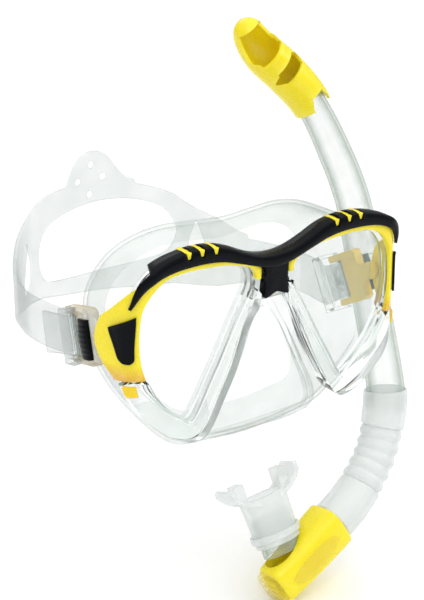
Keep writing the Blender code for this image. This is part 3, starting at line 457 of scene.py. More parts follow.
def film(name, pale, edge, thin, thick, roughness, curve=0.35, grain=500.0, strength=0.12, start=0.1):
    """Clear silicone or glass seen as a thin wall: opacity thin face on, rising to thick at its edges. Its
    colour goes from pale face on to edge at the silhouettes, which is painted shade for the surroundings
    seen through and mirrored in the wall, together with the wall's own tint growing denser where it is seen
    edge-on.
    """
    made, tree, shader = start_material(name)
    weight = tree.nodes.new("ShaderNodeLayerWeight")
    weight.inputs["Blend"].default_value = curve
    facing = weight.outputs["Facing"]
    slow = noise(tree, 70.0, 4.0, 0.6)
    # painted shade: the colour darkens from pale face on to edge towards the silhouettes, partly the wall's
    # own denser tint seen edge-on, mostly shade standing in for the surroundings seen through the wall
    tint_with_edge_shade = ramp(tree, facing, [(0.15, pale), (0.95, edge)])
    cloudy = mixed(tree, spread(tree, slow, 0.0, 0.25), tint_with_edge_shade, edge)
    tree.links.new(cloudy, shader.inputs["Base Color"])
    solid_share = spread(tree, facing, thin, thick, start, 0.95)
    drift = spread(tree, slow, 0.0, 0.05)
    tree.links.new(math_node(tree, "ADD", solid_share, drift), shader.inputs["Alpha"])
    fine = noise(tree, grain, 4.0, 0.6)
    grained(tree, shader, fine, roughness - 0.05, roughness + 0.08, strength, 0.0003)
    return made


def yellow_wing(name):
    """The yellow of the bezels, which turns amber and lets light in at the lower end of the temples."""
    made, tree, shader = start_material(name)
    drift = noise(tree, 45.0, 4.0, 0.6)
    lemon = ramp(tree, drift, [(0.25, (0.92, 0.75, 0.010)), (0.75, (0.94, 0.79, 0.012))])
    parts = tree.nodes.new("ShaderNodeSeparateXYZ")
    place = tree.nodes.new("ShaderNodeTexCoord").outputs["Object"]
    tree.links.new(place, parts.inputs["Vector"])
    low = spread(tree, parts.outputs["Z"], 1.0, 0.0, -0.027, -0.017)
    tree.links.new(mixed(tree, low, lemon, (0.93, 0.46, 0.02)), shader.inputs["Base Color"])
    grained(tree, shader, noise(tree, 900.0, 5.0, 0.65), 0.2, 0.34, 0.06, 0.00025)
    through = spread(tree, low, 1.0, 0.6, 0.0, 1.0)
    tree.links.new(through, shader.inputs["Alpha"])
    shader.inputs["Subsurface Weight"].default_value = 0.15
    shader.inputs["Subsurface Radius"].default_value = (0.004, 0.002, 0.0006)
    shader.inputs["Subsurface Scale"].default_value = 1.0
    return made


def steel(name):
    made, tree, shader = start_material(name)
    lines = noise(tree, 900.0, 3.0, 0.6, (1.0, 1.0, 0.05))
    tree.links.new(ramp(tree, lines, [(0.3, (0.45, 0.46, 0.47)), (0.7, (0.68, 0.69, 0.7))]),
                   shader.inputs["Base Color"])
    tree.links.new(spread(tree, lines, 0.2, 0.38), shader.inputs["Roughness"])
    shader.inputs["Metallic"].default_value = 1.0
    return made


# In each film look the second colour is the painted shade at the silhouettes, mixed with the wall's own
# denser tint there
LOOKS = {
    "bezel": yellow_wing("bezel_yellow"),
    "yellow": plastic("yellow_plastic", (0.94, 0.79, 0.012), (0.92, 0.75, 0.010), (0.96, 0.83, 0.06), 0.27,
                      subsurface=0.15),
    "amber": film("amber_plastic", (0.95, 0.70, 0.008), (0.90, 0.50, 0.004), 0.9, 1.0, 0.2),
    "black": plastic("black_plastic", (0.0035, 0.004, 0.006), (0.0025, 0.003, 0.0045),
                     (0.010, 0.0105, 0.013), 0.24, grain=1400.0, strength=0.08, specular=0.08),
    "clear": clear_plastic("clear_plastic", (0.97, 0.99, 0.98), (0.93, 0.97, 0.955), 0.06),
    "tube": film("tube_plastic", (0.72, 0.80, 0.75), (0.26, 0.34, 0.26), 0.06, 0.75, 0.06,
                 0.45, 200.0, 0.05),
    "glass": film("tempered_glass", (0.62, 0.70, 0.67), (0.45, 0.53, 0.50), 0.06, 0.45, 0.06,
                  0.3, 90.0, 0.02),
    "skirt": film("skirt_silicone", (0.62, 0.72, 0.68), (0.20, 0.26, 0.235), 0.10, 0.85, 0.16, 0.3,
                  start=0.4),
    "strap": film("strap_silicone", (0.58, 0.65, 0.63), (0.22, 0.27, 0.25), 0.22, 0.9, 0.16, 0.3,
                  start=0.35),
    "hose": film("milky_silicone", (0.93, 0.96, 0.95), (0.60, 0.66, 0.65), 0.36, 0.9, 0.3, 0.3),
    "tab": film("buckle_cover_plastic", (0.62, 0.68, 0.66), (0.22, 0.26, 0.25), 0.12, 0.8, 0.05,
                0.4, 200.0, 0.04),
    "port": film("port_plastic", (0.66, 0.78, 0.68), (0.30, 0.43, 0.32), 0.14, 0.9, 0.08, 0.4, 200.0, 0.05),
    "panel": film("panel_plastic", (0.97, 0.86, 0.10), (0.93, 0.72, 0.03), 0.10, 0.6, 0.06,
                  0.4, 200.0, 0.04),
    "pale_amber": film("pale_amber_plastic", (0.62, 0.60, 0.50), (0.55, 0.42, 0.10), 0.2, 0.85, 0.1),
    "steel": steel("steel"),
}


# ---------------------------------------------------------------- mask frame

def bend(x):
    run = min(max(abs(x) - BEND_START, 0), BEND_RADIUS * math.sin(BEND_ANGLE))
    return BEND_RADIUS - math.sqrt(BEND_RADIUS ** 2 - run ** 2)


def wrapped(q, z, proud, side):
    """A point on the wrapped front surface: q runs round the bend, proud stands out of it."""
    turn = min(max((abs(q) - BEND_START) / BEND_RADIUS, 0), BEND_ANGLE)
    past = max(abs(q) - BEND_START - BEND_RADIUS * BEND_ANGLE, 0)
    x = min(abs(q), BEND_START) + BEND_RADIUS * math.sin(turn) + past * math.cos(turn)
    y = BEND_RADIUS * (1 - math.cos(turn)) + past * math.sin(turn)
    x += proud * math.sin(turn)
    y -= proud * math.cos(turn)
    return side * x, FRONT_Y + y, z


def rim_outlines(count):
    return smooth(LENS_OPENING, count, closed=True), smooth(FRAME_EDGE, count, closed=True)


def frame_rim(name, side):
    count = 176
    per_station = count / len(LENS_OPENING)
    inner, outer = rim_outlines(count)
    seat = grown(inner, LENS_LAP + GAP)
    rest = grown(inner, -0.8)
    lip, back = FRONT_Y + LIP_BACK, FRONT_Y + FRAME_DEPTH
    sections = []
    for i in range(count):
        under_bezel = BEZEL_FIRST - 0.35 < i / per_station < BEZEL_LAST + 0.15
        (ix, iz), (sx, sz), (rx, rz), (ox, oz) = inner[i], seat[i], rest[i], outer[i]
        front = FRONT_Y + (BEZEL_DEPTH + 1.5 * GAP if under_bezel else 0.0)
        if under_bezel and ox > BEND_START:
            ox = BEND_START + (ox - BEND_START) * 0.72
        edge = min(front + bend(ox), lip - 0.5) if under_bezel else front + bend(ox)
        glass = lip + LENS_GLASS + 2 * GAP
        section = [(ix, min(front + bend(ix), lip - 0.7), iz), (ox, edge, oz), (ox, max(back, edge + 3), oz),
                   (rx, back, rz), (rx, glass, rz), (sx, glass, sz), (sx, lip, sz), (ix, lip, iz)]
        sections.append(mirrored(side, section))
    return sweep(name, sections, closed=True)


def bezel_thickness(q):
    turn = min(max((q - BEND_START) / BEND_RADIUS, 0), BEND_ANGLE)
    over = (4.2 - BEND_RADIUS * (1 - math.cos(turn))) / math.cos(turn)
    beside = (BEND_START + BEND_RADIUS * math.sin(turn) - 84.2) / max(math.sin(turn), 0.05)
    return min(BEZEL_DEPTH, max(over, beside))


def bezel_plate(name, side, spare=0.0, crown=0.0):
    """The bezel's plate. With crown its front edges fall away, and with spare it is the room it needs."""
    count = 120
    inner, outer = smooth(BEZEL_IN, count), smooth(BEZEL_OUT, count)
    shares = [0, 0.03, 0.06, 0.09, 0.12, 0.16, 0.2, 0.3, 0.5, 0.7, 0.85, 0.95, 1]
    front, back = [], []
    for i, (a, b) in enumerate(zip(inner, outer)):
        across = (b - a) / np.linalg.norm(b - a)
        wide = np.linalg.norm(b - a)
        ahead, behind = inner[min(i + 1, count - 1)], inner[max(i - 1, 0)]
        end = (ahead - behind) / np.linalg.norm(ahead - behind) * (spare * ((i == count - 1) - (i == 0)))
        a, b = a - across * spare + end, b + across * spare + end
        spots = [a + (b - a) * k for k in shares]
        thick = [bezel_thickness(q) for q, _ in spots]
        fall = [crown * (max(1 - min(k, 1 - k) * wide / 2.2, 0) ** 2) for k in shares]
        front.append([wrapped(q, z, 2 * spare - f, side) for (q, z), f in zip(spots, fall)])
        back.append([wrapped(q, z, -t - spare, side) for (q, z), t in zip(spots, thick)])
    return slab(name, front, back)


def build_frame():
    made = frame_rim("main_frame_look", 1)
    middle = [(-9.3, 12), (-9.2, 18), (-7, 20.8), (0, 20), (7, 20.8), (9.2, 18), (9.3, 12), (9.6, 6),
              (11.6, 0.6), (8, 0.2), (-8, 0.2), (-11.6, 0.6), (-9.6, 6)]
    bridge = prism("bridge", middle, FRONT_Y + 4.6, FRONT_Y + FRAME_DEPTH - 0.4)
    combine(made, [frame_rim("other", -1), bridge], "UNION")
    combine(made, [bezel_plate(f"room_{side}", side, GAP) for side in (1, -1)], "DIFFERENCE")
    piece(made, LOOKS["clear"], "mask", "main_frame", 0.5, 3)


def build_lens(side):
    outline = grown(rim_outlines(176)[0], LENS_LAP)
    near = FRONT_Y + LIP_BACK + GAP
    node_name = f"lens_{tag(side)}"
    made = prism(f"{node_name}_look", mirrored(side, outline), near, near + LENS_GLASS)
    piece(made, LOOKS["glass"], "mask", node_name, 0.25, 2)


def wedge(at, base, low, high, wider):
    """A groove's outline, opening upwards, or with a negative margin the tooth that stands in it."""
    def half(up):
        return 0.85 + 0.214 * max(up - 1.9, 0) + wider
    heights = [low] + [up for up in (1.9,) if low < up] + [high]
    right = [(at + half(up), base + up) for up in heights]
    return right + [(2 * at - x, z) for x, z in reversed(right)]


def groove_parts(side, rows, margin=0):
    made = []
    for at in GROOVES:
        base = blend(BEZEL_OUT[:8], at)
        for part, low, high, near, far, wider in rows:
            outline = mirrored(side, wedge(at, base, low, high, margin + wider))
            made.append(prism(f"{part}_{side}_{at:.0f}", outline, FRONT_Y + near, FRONT_Y + far))
    return made


def build_bezel(side):
    node_name = f"colour_bezel_{tag(side)}"
    made = bezel_plate(f"{node_name}_look", side, crown=0.9)
    combine(made, groove_parts(side, TEETH, -GROOVE_GAP), "UNION")
    pocket = prism("pocket", circle(3.3, 40, (PIVOT_Y, PIVOT_Z)), side * 80, side * 90.7,
                   place=lambda u, v, w: (w, u, v))
    combine(made, [pocket], "DIFFERENCE")
    piece(made, LOOKS["bezel"], "mask", node_name, 0.4, 3)


def build_trim():
    count = 181
    path = smooth([(-x, z) for x, z in reversed(TRIM_PATH[1:])] + TRIM_PATH, count)
    heights = smooth([(h, 0) for h in list(reversed(TRIM_HEIGHT[1:])) + TRIM_HEIGHT], count)[:, 0]
    sections = []
    for i, ((x, z), height) in enumerate(zip(path, heights)):
        ahead, behind = path[min(i + 1, count - 1)], path[max(i - 1, 0)]
        along = (ahead - behind) / np.linalg.norm(ahead - behind)
        up = np.array([-along[1], along[0]])
        cap = min(max((75 - abs(x)) / 4, 0), 1)  # 1 where the trim reaches back over the frame's top
        ledge = cap * 3.1 + (1 - cap) * 0.4 * height
        profile = [(-1.7, 0), (-GAP, 0), (-GAP, ledge),
                   (-GAP + cap * 9.3, ledge + (1 - cap) * 0.2 * height),
                   (-GAP + cap * 9.3, max(height - 1.6, 0.8 * height)),
                   (-GAP + cap * 7.2 - (1 - cap) * 0.2, height - 0.35 * min(1.6, 0.2 * height)),
                   (cap * 2.6 - (1 - cap) * 0.8, height),
                   (cap * 0.4 - (1 - cap) * 1.1, height - 0.04 * height),
                   (-1.4, 0.88 * height), (-2.1, 0.7 * height), (-2.4, 0.45 * height), (-2.25, 0.2 * height)]
        depth = bend(x)
        sections.append([(x + up[0] * n, FRONT_Y + depth + y, z + up[1] * n) for y, n in profile])
    made = sweep("brow_trim_look", sections)
    stub = smooth([(-7, 20.5), (0, 21), (7, 20.5), (6.9, 14), (7.5, 7), (7.8, 2.9), (5, 3.2), (0, 4.9),
                   (-5, 3.2), (-7.8, 2.9), (-7.5, 7), (-6.9, 14)], 60, closed=True)
    combine(made, [prism("stub", stub, FRONT_Y - 0.7, FRONT_Y + 4.2)], "UNION")
    combine(made, groove_parts(1, NOTCHES) + groove_parts(-1, NOTCHES), "DIFFERENCE")
    piece(made, LOOKS["black"], "mask", "brow_trim", 0.55, 3)


def build_insert(side):
    node_name = f"side_insert_{tag(side)}"
    left = [(83.9, 9), (84.1, 4), (84.7, -3), (85.1, -9), (85.2, -13.5), (87, -15.6)]
    right = [(99.2, 1.8), (98.2, -1.5), (96.3, -6), (94.8, -10), (93.4, -13.5), (91, -15.6)]
    inner, outer = smooth(left, 41), smooth(right, 41)
    shares = [k / 16 for k in range(17)]
    front, back = [], []
    for row, (a, b) in enumerate(zip(inner, outer)):
        spots = [a + (b - a) * k for k in shares]
        down = row / 40
        rim = [min(k, 1 - k) * np.linalg.norm(b - a) for k in shares]
        ends = min(down, 1 - down) * 23
        dish = [0.35 * min(max((min(r, ends) - 1.2) / 0.8, 0), 1) for r in rim]
        crown = [GAP + 0.7 + 0.9 * math.sin(math.pi * (0.15 + 0.7 * k)) - d for k, d in zip(shares, dish)]
        front.append([wrapped(q, z, h, side) for (q, z), h in zip(spots, crown)])
        back.append([wrapped(q, z, GAP, side) for q, z in spots])
    piece(slab(f"{node_name}_look", front, back), LOOKS["black"], "mask", node_name, 0.3, 2)


def build_clip(side):
    node_name = f"bezel_clip_{tag(side)}"
    inner = smooth([(84.5, -27.4), (84.2, -30), (83.5, -33)], 7)
    outer = smooth([(91.5, -27.6), (91, -30.5), (89.5, -33.5)], 7)
    front, back = [], []
    for row, (a, b) in enumerate(zip(inner, outer)):
        spots = [a + (b - a) * k / 6 for k in range(7)]
        ridge = 0.25 * math.sin(math.pi * row / 2) ** 2
        lifts = [1.35 + ridge * (0.2 < k / 6 < 0.8) for k in range(7)]
        front.append([wrapped(q, z, lift, side) for (q, z), lift in zip(spots, lifts)])
        back.append([wrapped(q, z, GAP, side) for q, z in spots])
    piece(slab(f"{node_name}_look", front, back), LOOKS["amber"], "mask", node_name, 0.25, 2)


# ---------------------------------------------------------------- skirt

def skirt_ring(half, count, inset=0.0, back=0.0):
    whole = list(half) + [(-x, y, z) for x, y, z in reversed(half[1:-1])]
    ring = smooth(whole, count, closed=True)
    flat = grown([(x, z) for x, _, z in ring], inset)
    return np.array([(x, FRONT_Y + y + back, z) for (x, z), (_, y, _) in zip(flat, ring)])


def nose_block(name, wall, root):
    sections = []
    heights = np.linspace(NOSE[0][0], NOSE[-1][0], 40)
    rows = smooth(sorted(NOSE), 60)
    for index, z in enumerate(heights):
        wide, face, depth = (float(np.interp(z, rows[:, 0], rows[:, k])) for k in (1, 2, 3))
        wide, face, depth = wide - wall, face - wall, FRONT_Y + depth + wall
        middle = z + wall * (1 if z < -40 else -1) if index in (0, 39) else z
        side, corner = min(depth + 8, root - 0.8), min(depth + 5, root - 1.6)
        bow = [(-wide, root), (-wide, side), (-wide + 0.6, corner), (-(wide + face) / 2 - 1, depth + 2.2),
               (-face, depth + 0.5), (-face * 0.6, depth), (0, depth + 0.6), (face * 0.6, depth),
               (face, depth + 0.5), ((wide + face) / 2 + 1, depth + 2.2), (wide - 0.6, corner),
               (wide, side), (wide, root)]
        sections.append([(x, y, middle) for x, y in bow])
    return sweep(name, sections)


def build_skirt():
    count, wall, steps = 160, SKIRT_WALL, 25
    rings = [skirt_ring(half, count) for half in (SKIRT_FRONT, SKIRT_MIDDLE, SKIRT_SEAL, SKIRT_LIP)]
    outer = np.array([smooth([ring[i] for ring in rings], steps) for i in range(count)])
    around = np.roll(outer, -1, axis=0) - np.roll(outer, 1, axis=0)
    inwards = np.cross(np.gradient(outer, axis=1), around)
    inwards /= np.linalg.norm(inwards, axis=2)[:, :, None]
    if np.dot(inwards[0][2], (0, 0, -1)) < 0:  # the first station is at the middle of the brow
        inwards = -inwards
    thick = np.interp(np.arange(steps), [0, steps * 0.7, steps - 1], [wall, wall * 0.9, 1.2])
    inner = outer + inwards * thick[None, :, None]
    front = skirt_ring(SKIRT_FRONT, count, -wall, wall)
    sections = [outer[:, k] for k in range(steps)] + [inner[:, k] for k in range(steps - 1, 1, -1)] + [front]
    made = sweep("skirt_look", sections)
    combine(made, [nose_block("nose", 0.0, FRONT_Y + 13.6)], "UNION")
    combine(made, [nose_block("nose_hollow", wall, FRONT_Y + 19.0)], "DIFFERENCE")
    window = grown(rim_outlines(132)[0], -0.2)
    cuts = [prism(f"window_{side}", mirrored(side, window), FRONT_Y + 8, FRONT_Y + 18) for side in (1, -1)]
    combine(made, cuts, "DIFFERENCE")
    piece(made, LOOKS["skirt"], "mask", "skirt", 0.5, 2)


# ---------------------------------------------------------------- strap and buckles

def bracket_place(side):
    cos, sin = math.cos(DROOP[side]), math.sin(DROOP[side])

    def place(a, c, x):
        return side * x, PIVOT_Y + a * cos + c * sin, PIVOT_Z - a * sin + c * cos
    return place


def build_buckle(side):
    name = tag(side)
    place = bracket_place(side)
    hub = circle(5.0, 60)[9:52]
    bracket = prism(f"buckle_bracket_{name}_look", list(hub) + [(16, -9), (16, 9)], ARM_IN, ARM_OUT, place)
    fork = [(10.5, -13), (13, -14.8), (33.5, -14.8), (34.5, -13.6), (34.5, -11.8), (33.5, -10.9),
            (23.5, -10.9), (23.5, 10.9), (33.5, 10.9), (34.5, 11.8), (34.5, 13.6), (33.5, 14.8),
            (13, 14.8), (10.5, 13)]
    extra = [prism("fork", fork, ARM_OUT - 1.4, FORK_OUT, place),
             prism("stud", circle(3.0, 48), ARM_OUT - 1, 90.4, place)]
    combine(bracket, extra, "UNION")
    across = lambda u, v, w: place(ROLLER_A + u, w, ROLLER_X + v)  # noqa: E731
    combine(bracket, [prism("pin_hole", circle(1.5, 32), -20, 20, across)], "DIFFERENCE")
    look = LOOKS["amber" if side > 0 else "pale_amber"]
    piece(bracket, look, "strap", f"buckle_bracket_{name}", 0.4, 3)
    pin = prism(f"roller_pin_{name}_look", circle(1.15, 32), -14.2, 14.2, across)
    piece(pin, LOOKS["steel"], "strap", f"roller_pin_{name}", 0.2, 2)
    rows = []
    for k in range(53):
        c = -10.4 + 20.8 * k / 52
        rows.append([across(u, v, c) for u, v in circle(ROLLER_R - (0.18 if k % 2 else 0.0), 32)])
    roller = sweep(f"strap_roller_{name}_look", rows)
    combine(roller, [prism("roller_bore", circle(1.5, 32), -20, 20, across)], "DIFFERENCE")
    piece(roller, LOOKS["clear"], "strap", f"strap_roller_{name}", 0.08, 1)
    guard = [(24, -14.6), (33, -14.6), (33, 14.6), (24, 14.6)]
    cover = prism(f"buckle_cover_{name}_look", guard, FORK_OUT + GAP, 96.2, place)
    inside = [(20, -12.1), (40, -12.1), (40, 12.1), (20, 12.1)]
    combine(cover, [prism("cover_room", inside, 80, 94.9, place)], "DIFFERENCE")
    piece(cover, LOOKS["tab"], "strap", f"buckle_cover_{name}", 0.5, 3)
    front, back = [], []
    for k in range(53):
        c = -10.4 + 20.8 * k / 52
        swell = 0.8 * math.sin(math.pi * k / 52)
        rib = 0.24 * (0.5 + 0.5 * math.cos(2 * math.pi * k / 6.5)) if 4 < k < 48 else 0.0
        spots = ((BUTTON_IN, 94.0), (BUTTON_IN + 1.4, 94.6), (BUTTON_IN + 2.8, 94.9),
                 (BUTTON_OUT - 2.8, 94.9), (BUTTON_OUT - 1.4, 94.6), (BUTTON_OUT, 94.0))
        front.append([place(a, c, x + swell - rib) for a, x in spots])
        back.append([place(a, c, 92.4) for a, _ in spots])
    button = slab(f"buckle_button_{name}_look", front, back)
    piece(button, LOOKS["black"], f"button_{name}", f"buckle_button_{name}", 0.3, 2)


def strap_line():
    turn = ROLLER_R + GAP + STRAP_THICK / 2
    sides = {}
    for side in (1, -1):
        place = bracket_place(side)
        whole = [(-x, y) for x, y in reversed(STRAP_PATH[1:])] + STRAP_PATH
        rows = [(side * x, y, None, None, 0.0) for x, y in smooth(whole, 385)[192:]]
        loop = [(47, ROLLER_X - 1.6, 0.5), (39, ROLLER_X - 2.6, 0.9), (33, ROLLER_X - turn, 1.0)]
        loop += [(ROLLER_A - turn * math.sin(t), ROLLER_X - turn * math.cos(t), 1.0)
                 for t in np.linspace(0, math.pi, 9)]
        beyond = ROLLER_X + turn
        loop += [(36, beyond, 1.0), (45, beyond + 0.5, 0.9), (53, beyond + 1.2, 0.7)]
        for a, x, lean in smooth(loop, 4 * len(loop) - 3):
            _, y, z = place(a, 0, x)
            rows.append((side * x, y, z, 10.3 + (1 - min(lean, 1)) * 3, lean * DROOP[side]))
        sides[side] = rows
    return list(reversed(sides[-1])) + sides[1][1:], len(sides[-1]) - 1


def strap_surface():
    rows, middle = strap_line()
    line = np.array([row[:2] for row in rows], float)
    run = np.concatenate([[0], np.cumsum(np.linalg.norm(np.diff(line, axis=0), axis=1))])
    run -= run[middle]
    along = np.gradient(line, axis=0)
    along /= np.linalg.norm(along, axis=1)[:, None]
    out = np.stack([-along[:, 1], along[:, 0]], axis=1)
    tab_rows = smooth(TAB[1:-1], 60)
    front, back = [], []
    steps = 12
    for i, (x, y, z, half, lean) in enumerate(rows):
        tilt = -STRAP_TILT * max(min(run[i], 65), -65)
        far = abs(run[i])
        low = blend([(e[0], e[1]) for e in STRAP_EDGES], far) + tilt
        high = soft_blend([(e[0], e[2]) for e in STRAP_EDGES], far) + tilt
        if -24 < run[i] < 24:
            high = max(high, float(np.interp(run[i], tab_rows[:, 0], tab_rows[:, 1])))
        if z is None:
            ups = [(0.0, low + (high - low) * k / steps) for k in range(steps + 1)]
        else:
            spots = [half * (2 * k / steps - 1) for k in range(steps + 1)]
            ups = [(c * math.sin(lean), z + c * math.cos(lean)) for c in spots]
        push = out[i] * STRAP_THICK / 2
        front.append([(x + push[0], y + push[1] + dy, h) for dy, h in ups])
        back.append([(x - push[0], y - push[1] + dy, h) for dy, h in ups])

    def spot(s, z, lift):
        at = [float(np.interp(s, run, line[:, k]) + lift * np.interp(s, run, out[:, k])) for k in (0, 1)]
        return at[0], at[1], z
    return front, back, spot


def build_strap():
    front, back, spot = strap_surface()
    made = slab("strap_look", front, back)
    rows = smooth(EYE, 140)
    front, back = ([[spot(s, z, lift) for z in (low, high)] for s, low, high in rows] for lift in (9, -9))
    cuts = [slab("strap_eye", front, back)]
    slits = {"slit_right": [(-s, z) for s, z in SLIT], "slit_left": [(s, z - 8) for s, z in SLIT]}
    for name, slit in slits.items():
        dense = smooth(slit, 8 * len(slit), closed=True)
        cuts.append(prism(name, dense, -8, 8, spot))
    for k, (s, z) in enumerate(TAB_HOLES):
        cuts.append(prism(f"tab_hole_{k}", circle(2.4, 40, (s, z)), -8, 8, spot))
    combine(made, cuts, "DIFFERENCE")
    piece(made, LOOKS["strap"], "strap", "strap", 0.55, 3)


def build_slide():
    place = bracket_place(1)
    a0, a1 = 39.6, 47.6
    outer = [(a0, -16.2), (a1, -16.2), (a1, 16.8), (a0, 16.8)]
    made = prism("keeper_strap_slide_look", outer, 83.2, 97.6, place)
    inner = [(a0 - 5, -14.2), (a1 + 5, -14.2), (a1 + 5, 14.8), (a0 - 5, 14.8)]
    combine(made, [prism("slide_room", inner, 85.0, 96.0, place)], "DIFFERENCE")
    combine(made, [prism("keeper_stud", circle(2.6, 40, (45, 0)), 97, 101.4, place)], "UNION")
    piece(made, LOOKS["clear"], "strap", "keeper_strap_slide", 0.5, 3)


# ---------------------------------------------------------------- snorkel

def snorkel_line():
    points = smooth(SNORKEL_PATH, 1361)
    run = np.concatenate([[0], np.cumsum(np.linalg.norm(np.diff(points, axis=0), axis=1))])
    return points, run


LINE, RUN = snorkel_line()


def along_line(s):
    at = Vector([float(np.interp(s, RUN, LINE[:, k])) for k in range(3)])
    past = s - min(max(s, 0), RUN[-1])
    ahead, behind = min(s + 2, RUN[-1]), max(s - 2, 0)
    if past:
        ahead, behind = (RUN[-1], RUN[-1] - 3) if past > 0 else (3, 0)
    ends = [Vector([float(np.interp(v, RUN, LINE[:, k])) for k in range(3)]) for v in (behind, ahead)]
    direction = (ends[1] - ends[0]).normalized()
    return at + direction * past, direction


def station(s):
    at, direction = along_line(s)
    back = (BEND_NORMAL - direction * BEND_NORMAL.dot(direction)).normalized()
    return at, direction, back, direction.cross(back)


def loop_at(s, width, depth=None, count=64, power=2.0):
    depth = depth or width
    at, _, back, out = station(s)
    loop = []
    for i in range(count):
        turn = 2 * math.pi * i / count
        c, n = math.cos(turn), math.sin(turn)
        grow = (abs(c) ** power + abs(n) ** power) ** (-1 / power)
        loop.append(tuple(at + out * (width * grow * c) + back * (depth * grow * n)))
    return loop


def pipe(name, outer, inner, count=64):
    rows = [loop_at(s, r, count=count) for s, r in outer]
    rows += [loop_at(s, r, count=count) for s, r in reversed(inner)]
    return sweep(name, rows, closed=True)


def build_tube():
    stops = list(np.linspace(TUBE_START, TUBE_END, 106))
    outer = [(s, blend(TUBE_RADIUS, s)) for s in stops]
    inner = [(s, r - TUBE_WALL) for s, r in outer]
    piece(pipe("tube_look", outer, inner, 72), LOOKS["tube"], "snorkel", "tube", 0.4, 2)


def slot_cutter(name, start, end, half, lean):
    rows = []
    for s in np.linspace(start, end, 25):
        at, direction, back, out = station(float(s))
        share = math.sin(math.pi * min(max((s - start) / (end - start), 0.12), 0.88))
        wide = half * (0.55 + 0.45 * share)
        side = out * -lean
        near, far = at - back * 1.0, at - back * 22
        rows.append([tuple(near + out * -wide + side), tuple(far + out * -wide + side),
                     tuple(far + out * wide + side), tuple(near + out * wide + side)])
    return sweep(name, rows)


def build_guard():
    stops = [68 * (1 - math.cos(math.pi * k / 90)) for k in range(46)]
    rows = [loop_at(s, max(soft_blend(GUARD_RADIUS, s) - 1.8, 1.4)) for s in stops if s > 3.5]
    rows += [loop_at(s, soft_blend(GUARD_RADIUS, s)) for s in reversed(stops)]
    made = sweep("splash_guard_look", rows)
    combine(made, [slot_cutter(name, *values) for name, values in GUARD_SLOTS.items()], "DIFFERENCE")
    piece(made, LOOKS["yellow"], "snorkel", "splash_guard", 0.45, 3)


def build_hose():
    room = blend(TUBE_RADIUS, 262) + GAP
    collar = pipe("hose_collar_look",
                  [(250, 12.6), (250.6, 13.2), (252, 13.4), (262, 13.4), (271, 13.2), (273, 12.8)],
                  [(250, room), (256, room), (262.4, room), (262.6, 10.4), (273, 10.4)], 72)
    piece(collar, LOOKS["hose"], "snorkel", "hose_collar", 0.4, 3)
    outer, inner = [], []
    steps = HOSE_RINGS * 16
    for k in range(steps + 1):
        s = HOSE_START + (HOSE_END - HOSE_START) * k / steps
        swell = 0.5 - 0.5 * math.cos(2 * math.pi * HOSE_RINGS * k / steps)
        outer.append((s, 11.6 + 1.3 * swell ** 0.7))
        inner.append((s, 10.2 + 1.2 * swell))
    hose = pipe("corrugated_hose_look", outer, inner, 64)
    piece(hose, LOOKS["hose"], None, "corrugated_hose", 0)
    along_line(HOSE_START)[0] * MM
    along_line(HOSE_END)[0] * MM
    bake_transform(hose)
    cuff = pipe("lower_cuff_look",
                [(312, 12.4), (312.7, 12.75), (314, 12.9), (327, 13.1), (340.6, 13.1), (341, 11.3),
                 (349, 11.1)],
                [(312, 10.4), (326, 10.2), (341, 9.8), (349, 9.6)], 72)
    piece(cuff, LOOKS["hose"], "mouth", "lower_cuff", 0.4, 3)


def housing_loop(s, shrink=0.0, count=72):
    width = blend([(r[0], r[1]) for r in HOUSING], s) - shrink
    depth = blend([(r[0], r[2]) for r in HOUSING], s) - shrink
    return loop_at(s, width, depth, count, 3.4)


def mouth_point(w, h, t):
    across = (MOUTH_WIDTH - MOUTH_AXIS * MOUTH_WIDTH.dot(MOUTH_AXIS)).normalized()
    return tuple(MOUTH_ROOT + across * w + MOUTH_AXIS.cross(across) * h + MOUTH_AXIS * t)


def oval(width, height, t, count=64):
    return [mouth_point(width * math.cos(a), height * math.sin(a), t)
            for a in (2 * math.pi * i / count for i in range(count))]


def build_housing():
    stops = [341.4, 342, 343, 350, 356, 362, 369, 376, 383, 389, 392, 393.4, 394]
    rim = {394: 1.2, 393.4: 0.4, 341.4: 0.8, 342: 0.2}
    made = sweep("valve_housing_look", [housing_loop(s, rim.get(s, 0.0)) for s in stops])
    bore = ((338, 11.65), (350, 11.65), (350.2, 10.9), (386, 9.6), (386.2, 8.2), (399, 8.2))
    hollow = [loop_at(s, r, r) for s, r in bore]
    port = sweep("port_hole", [oval(12.6, 8.6, 2), oval(12.6, 8.6, 30)])
    combine(made, [sweep("housing_hollow", hollow), port], "DIFFERENCE")
    piece(made, LOOKS["yellow"], "mouth", "valve_housing", 0.5, 3)
    rows = []
    for lift in (GAP, 1.0, 1.3):
        loop = []
        for i in range(64):
            turn = 2 * math.pi * i / 64
            small = 1.0 if lift < 1.2 else 0.94
            s = 368 + 18.5 * small * math.cos(turn)
            at, _, back, out = station(s)
            depth = blend([(r[0], r[2]) for r in HOUSING], s)
            loop.append(tuple(at + out * (6.3 * small * math.sin(turn)) - back * (depth + lift)))
        rows.append(loop)
    piece(sweep("housing_window_look", rows), LOOKS["panel"], "mouth", "housing_window", 0.15, 2)


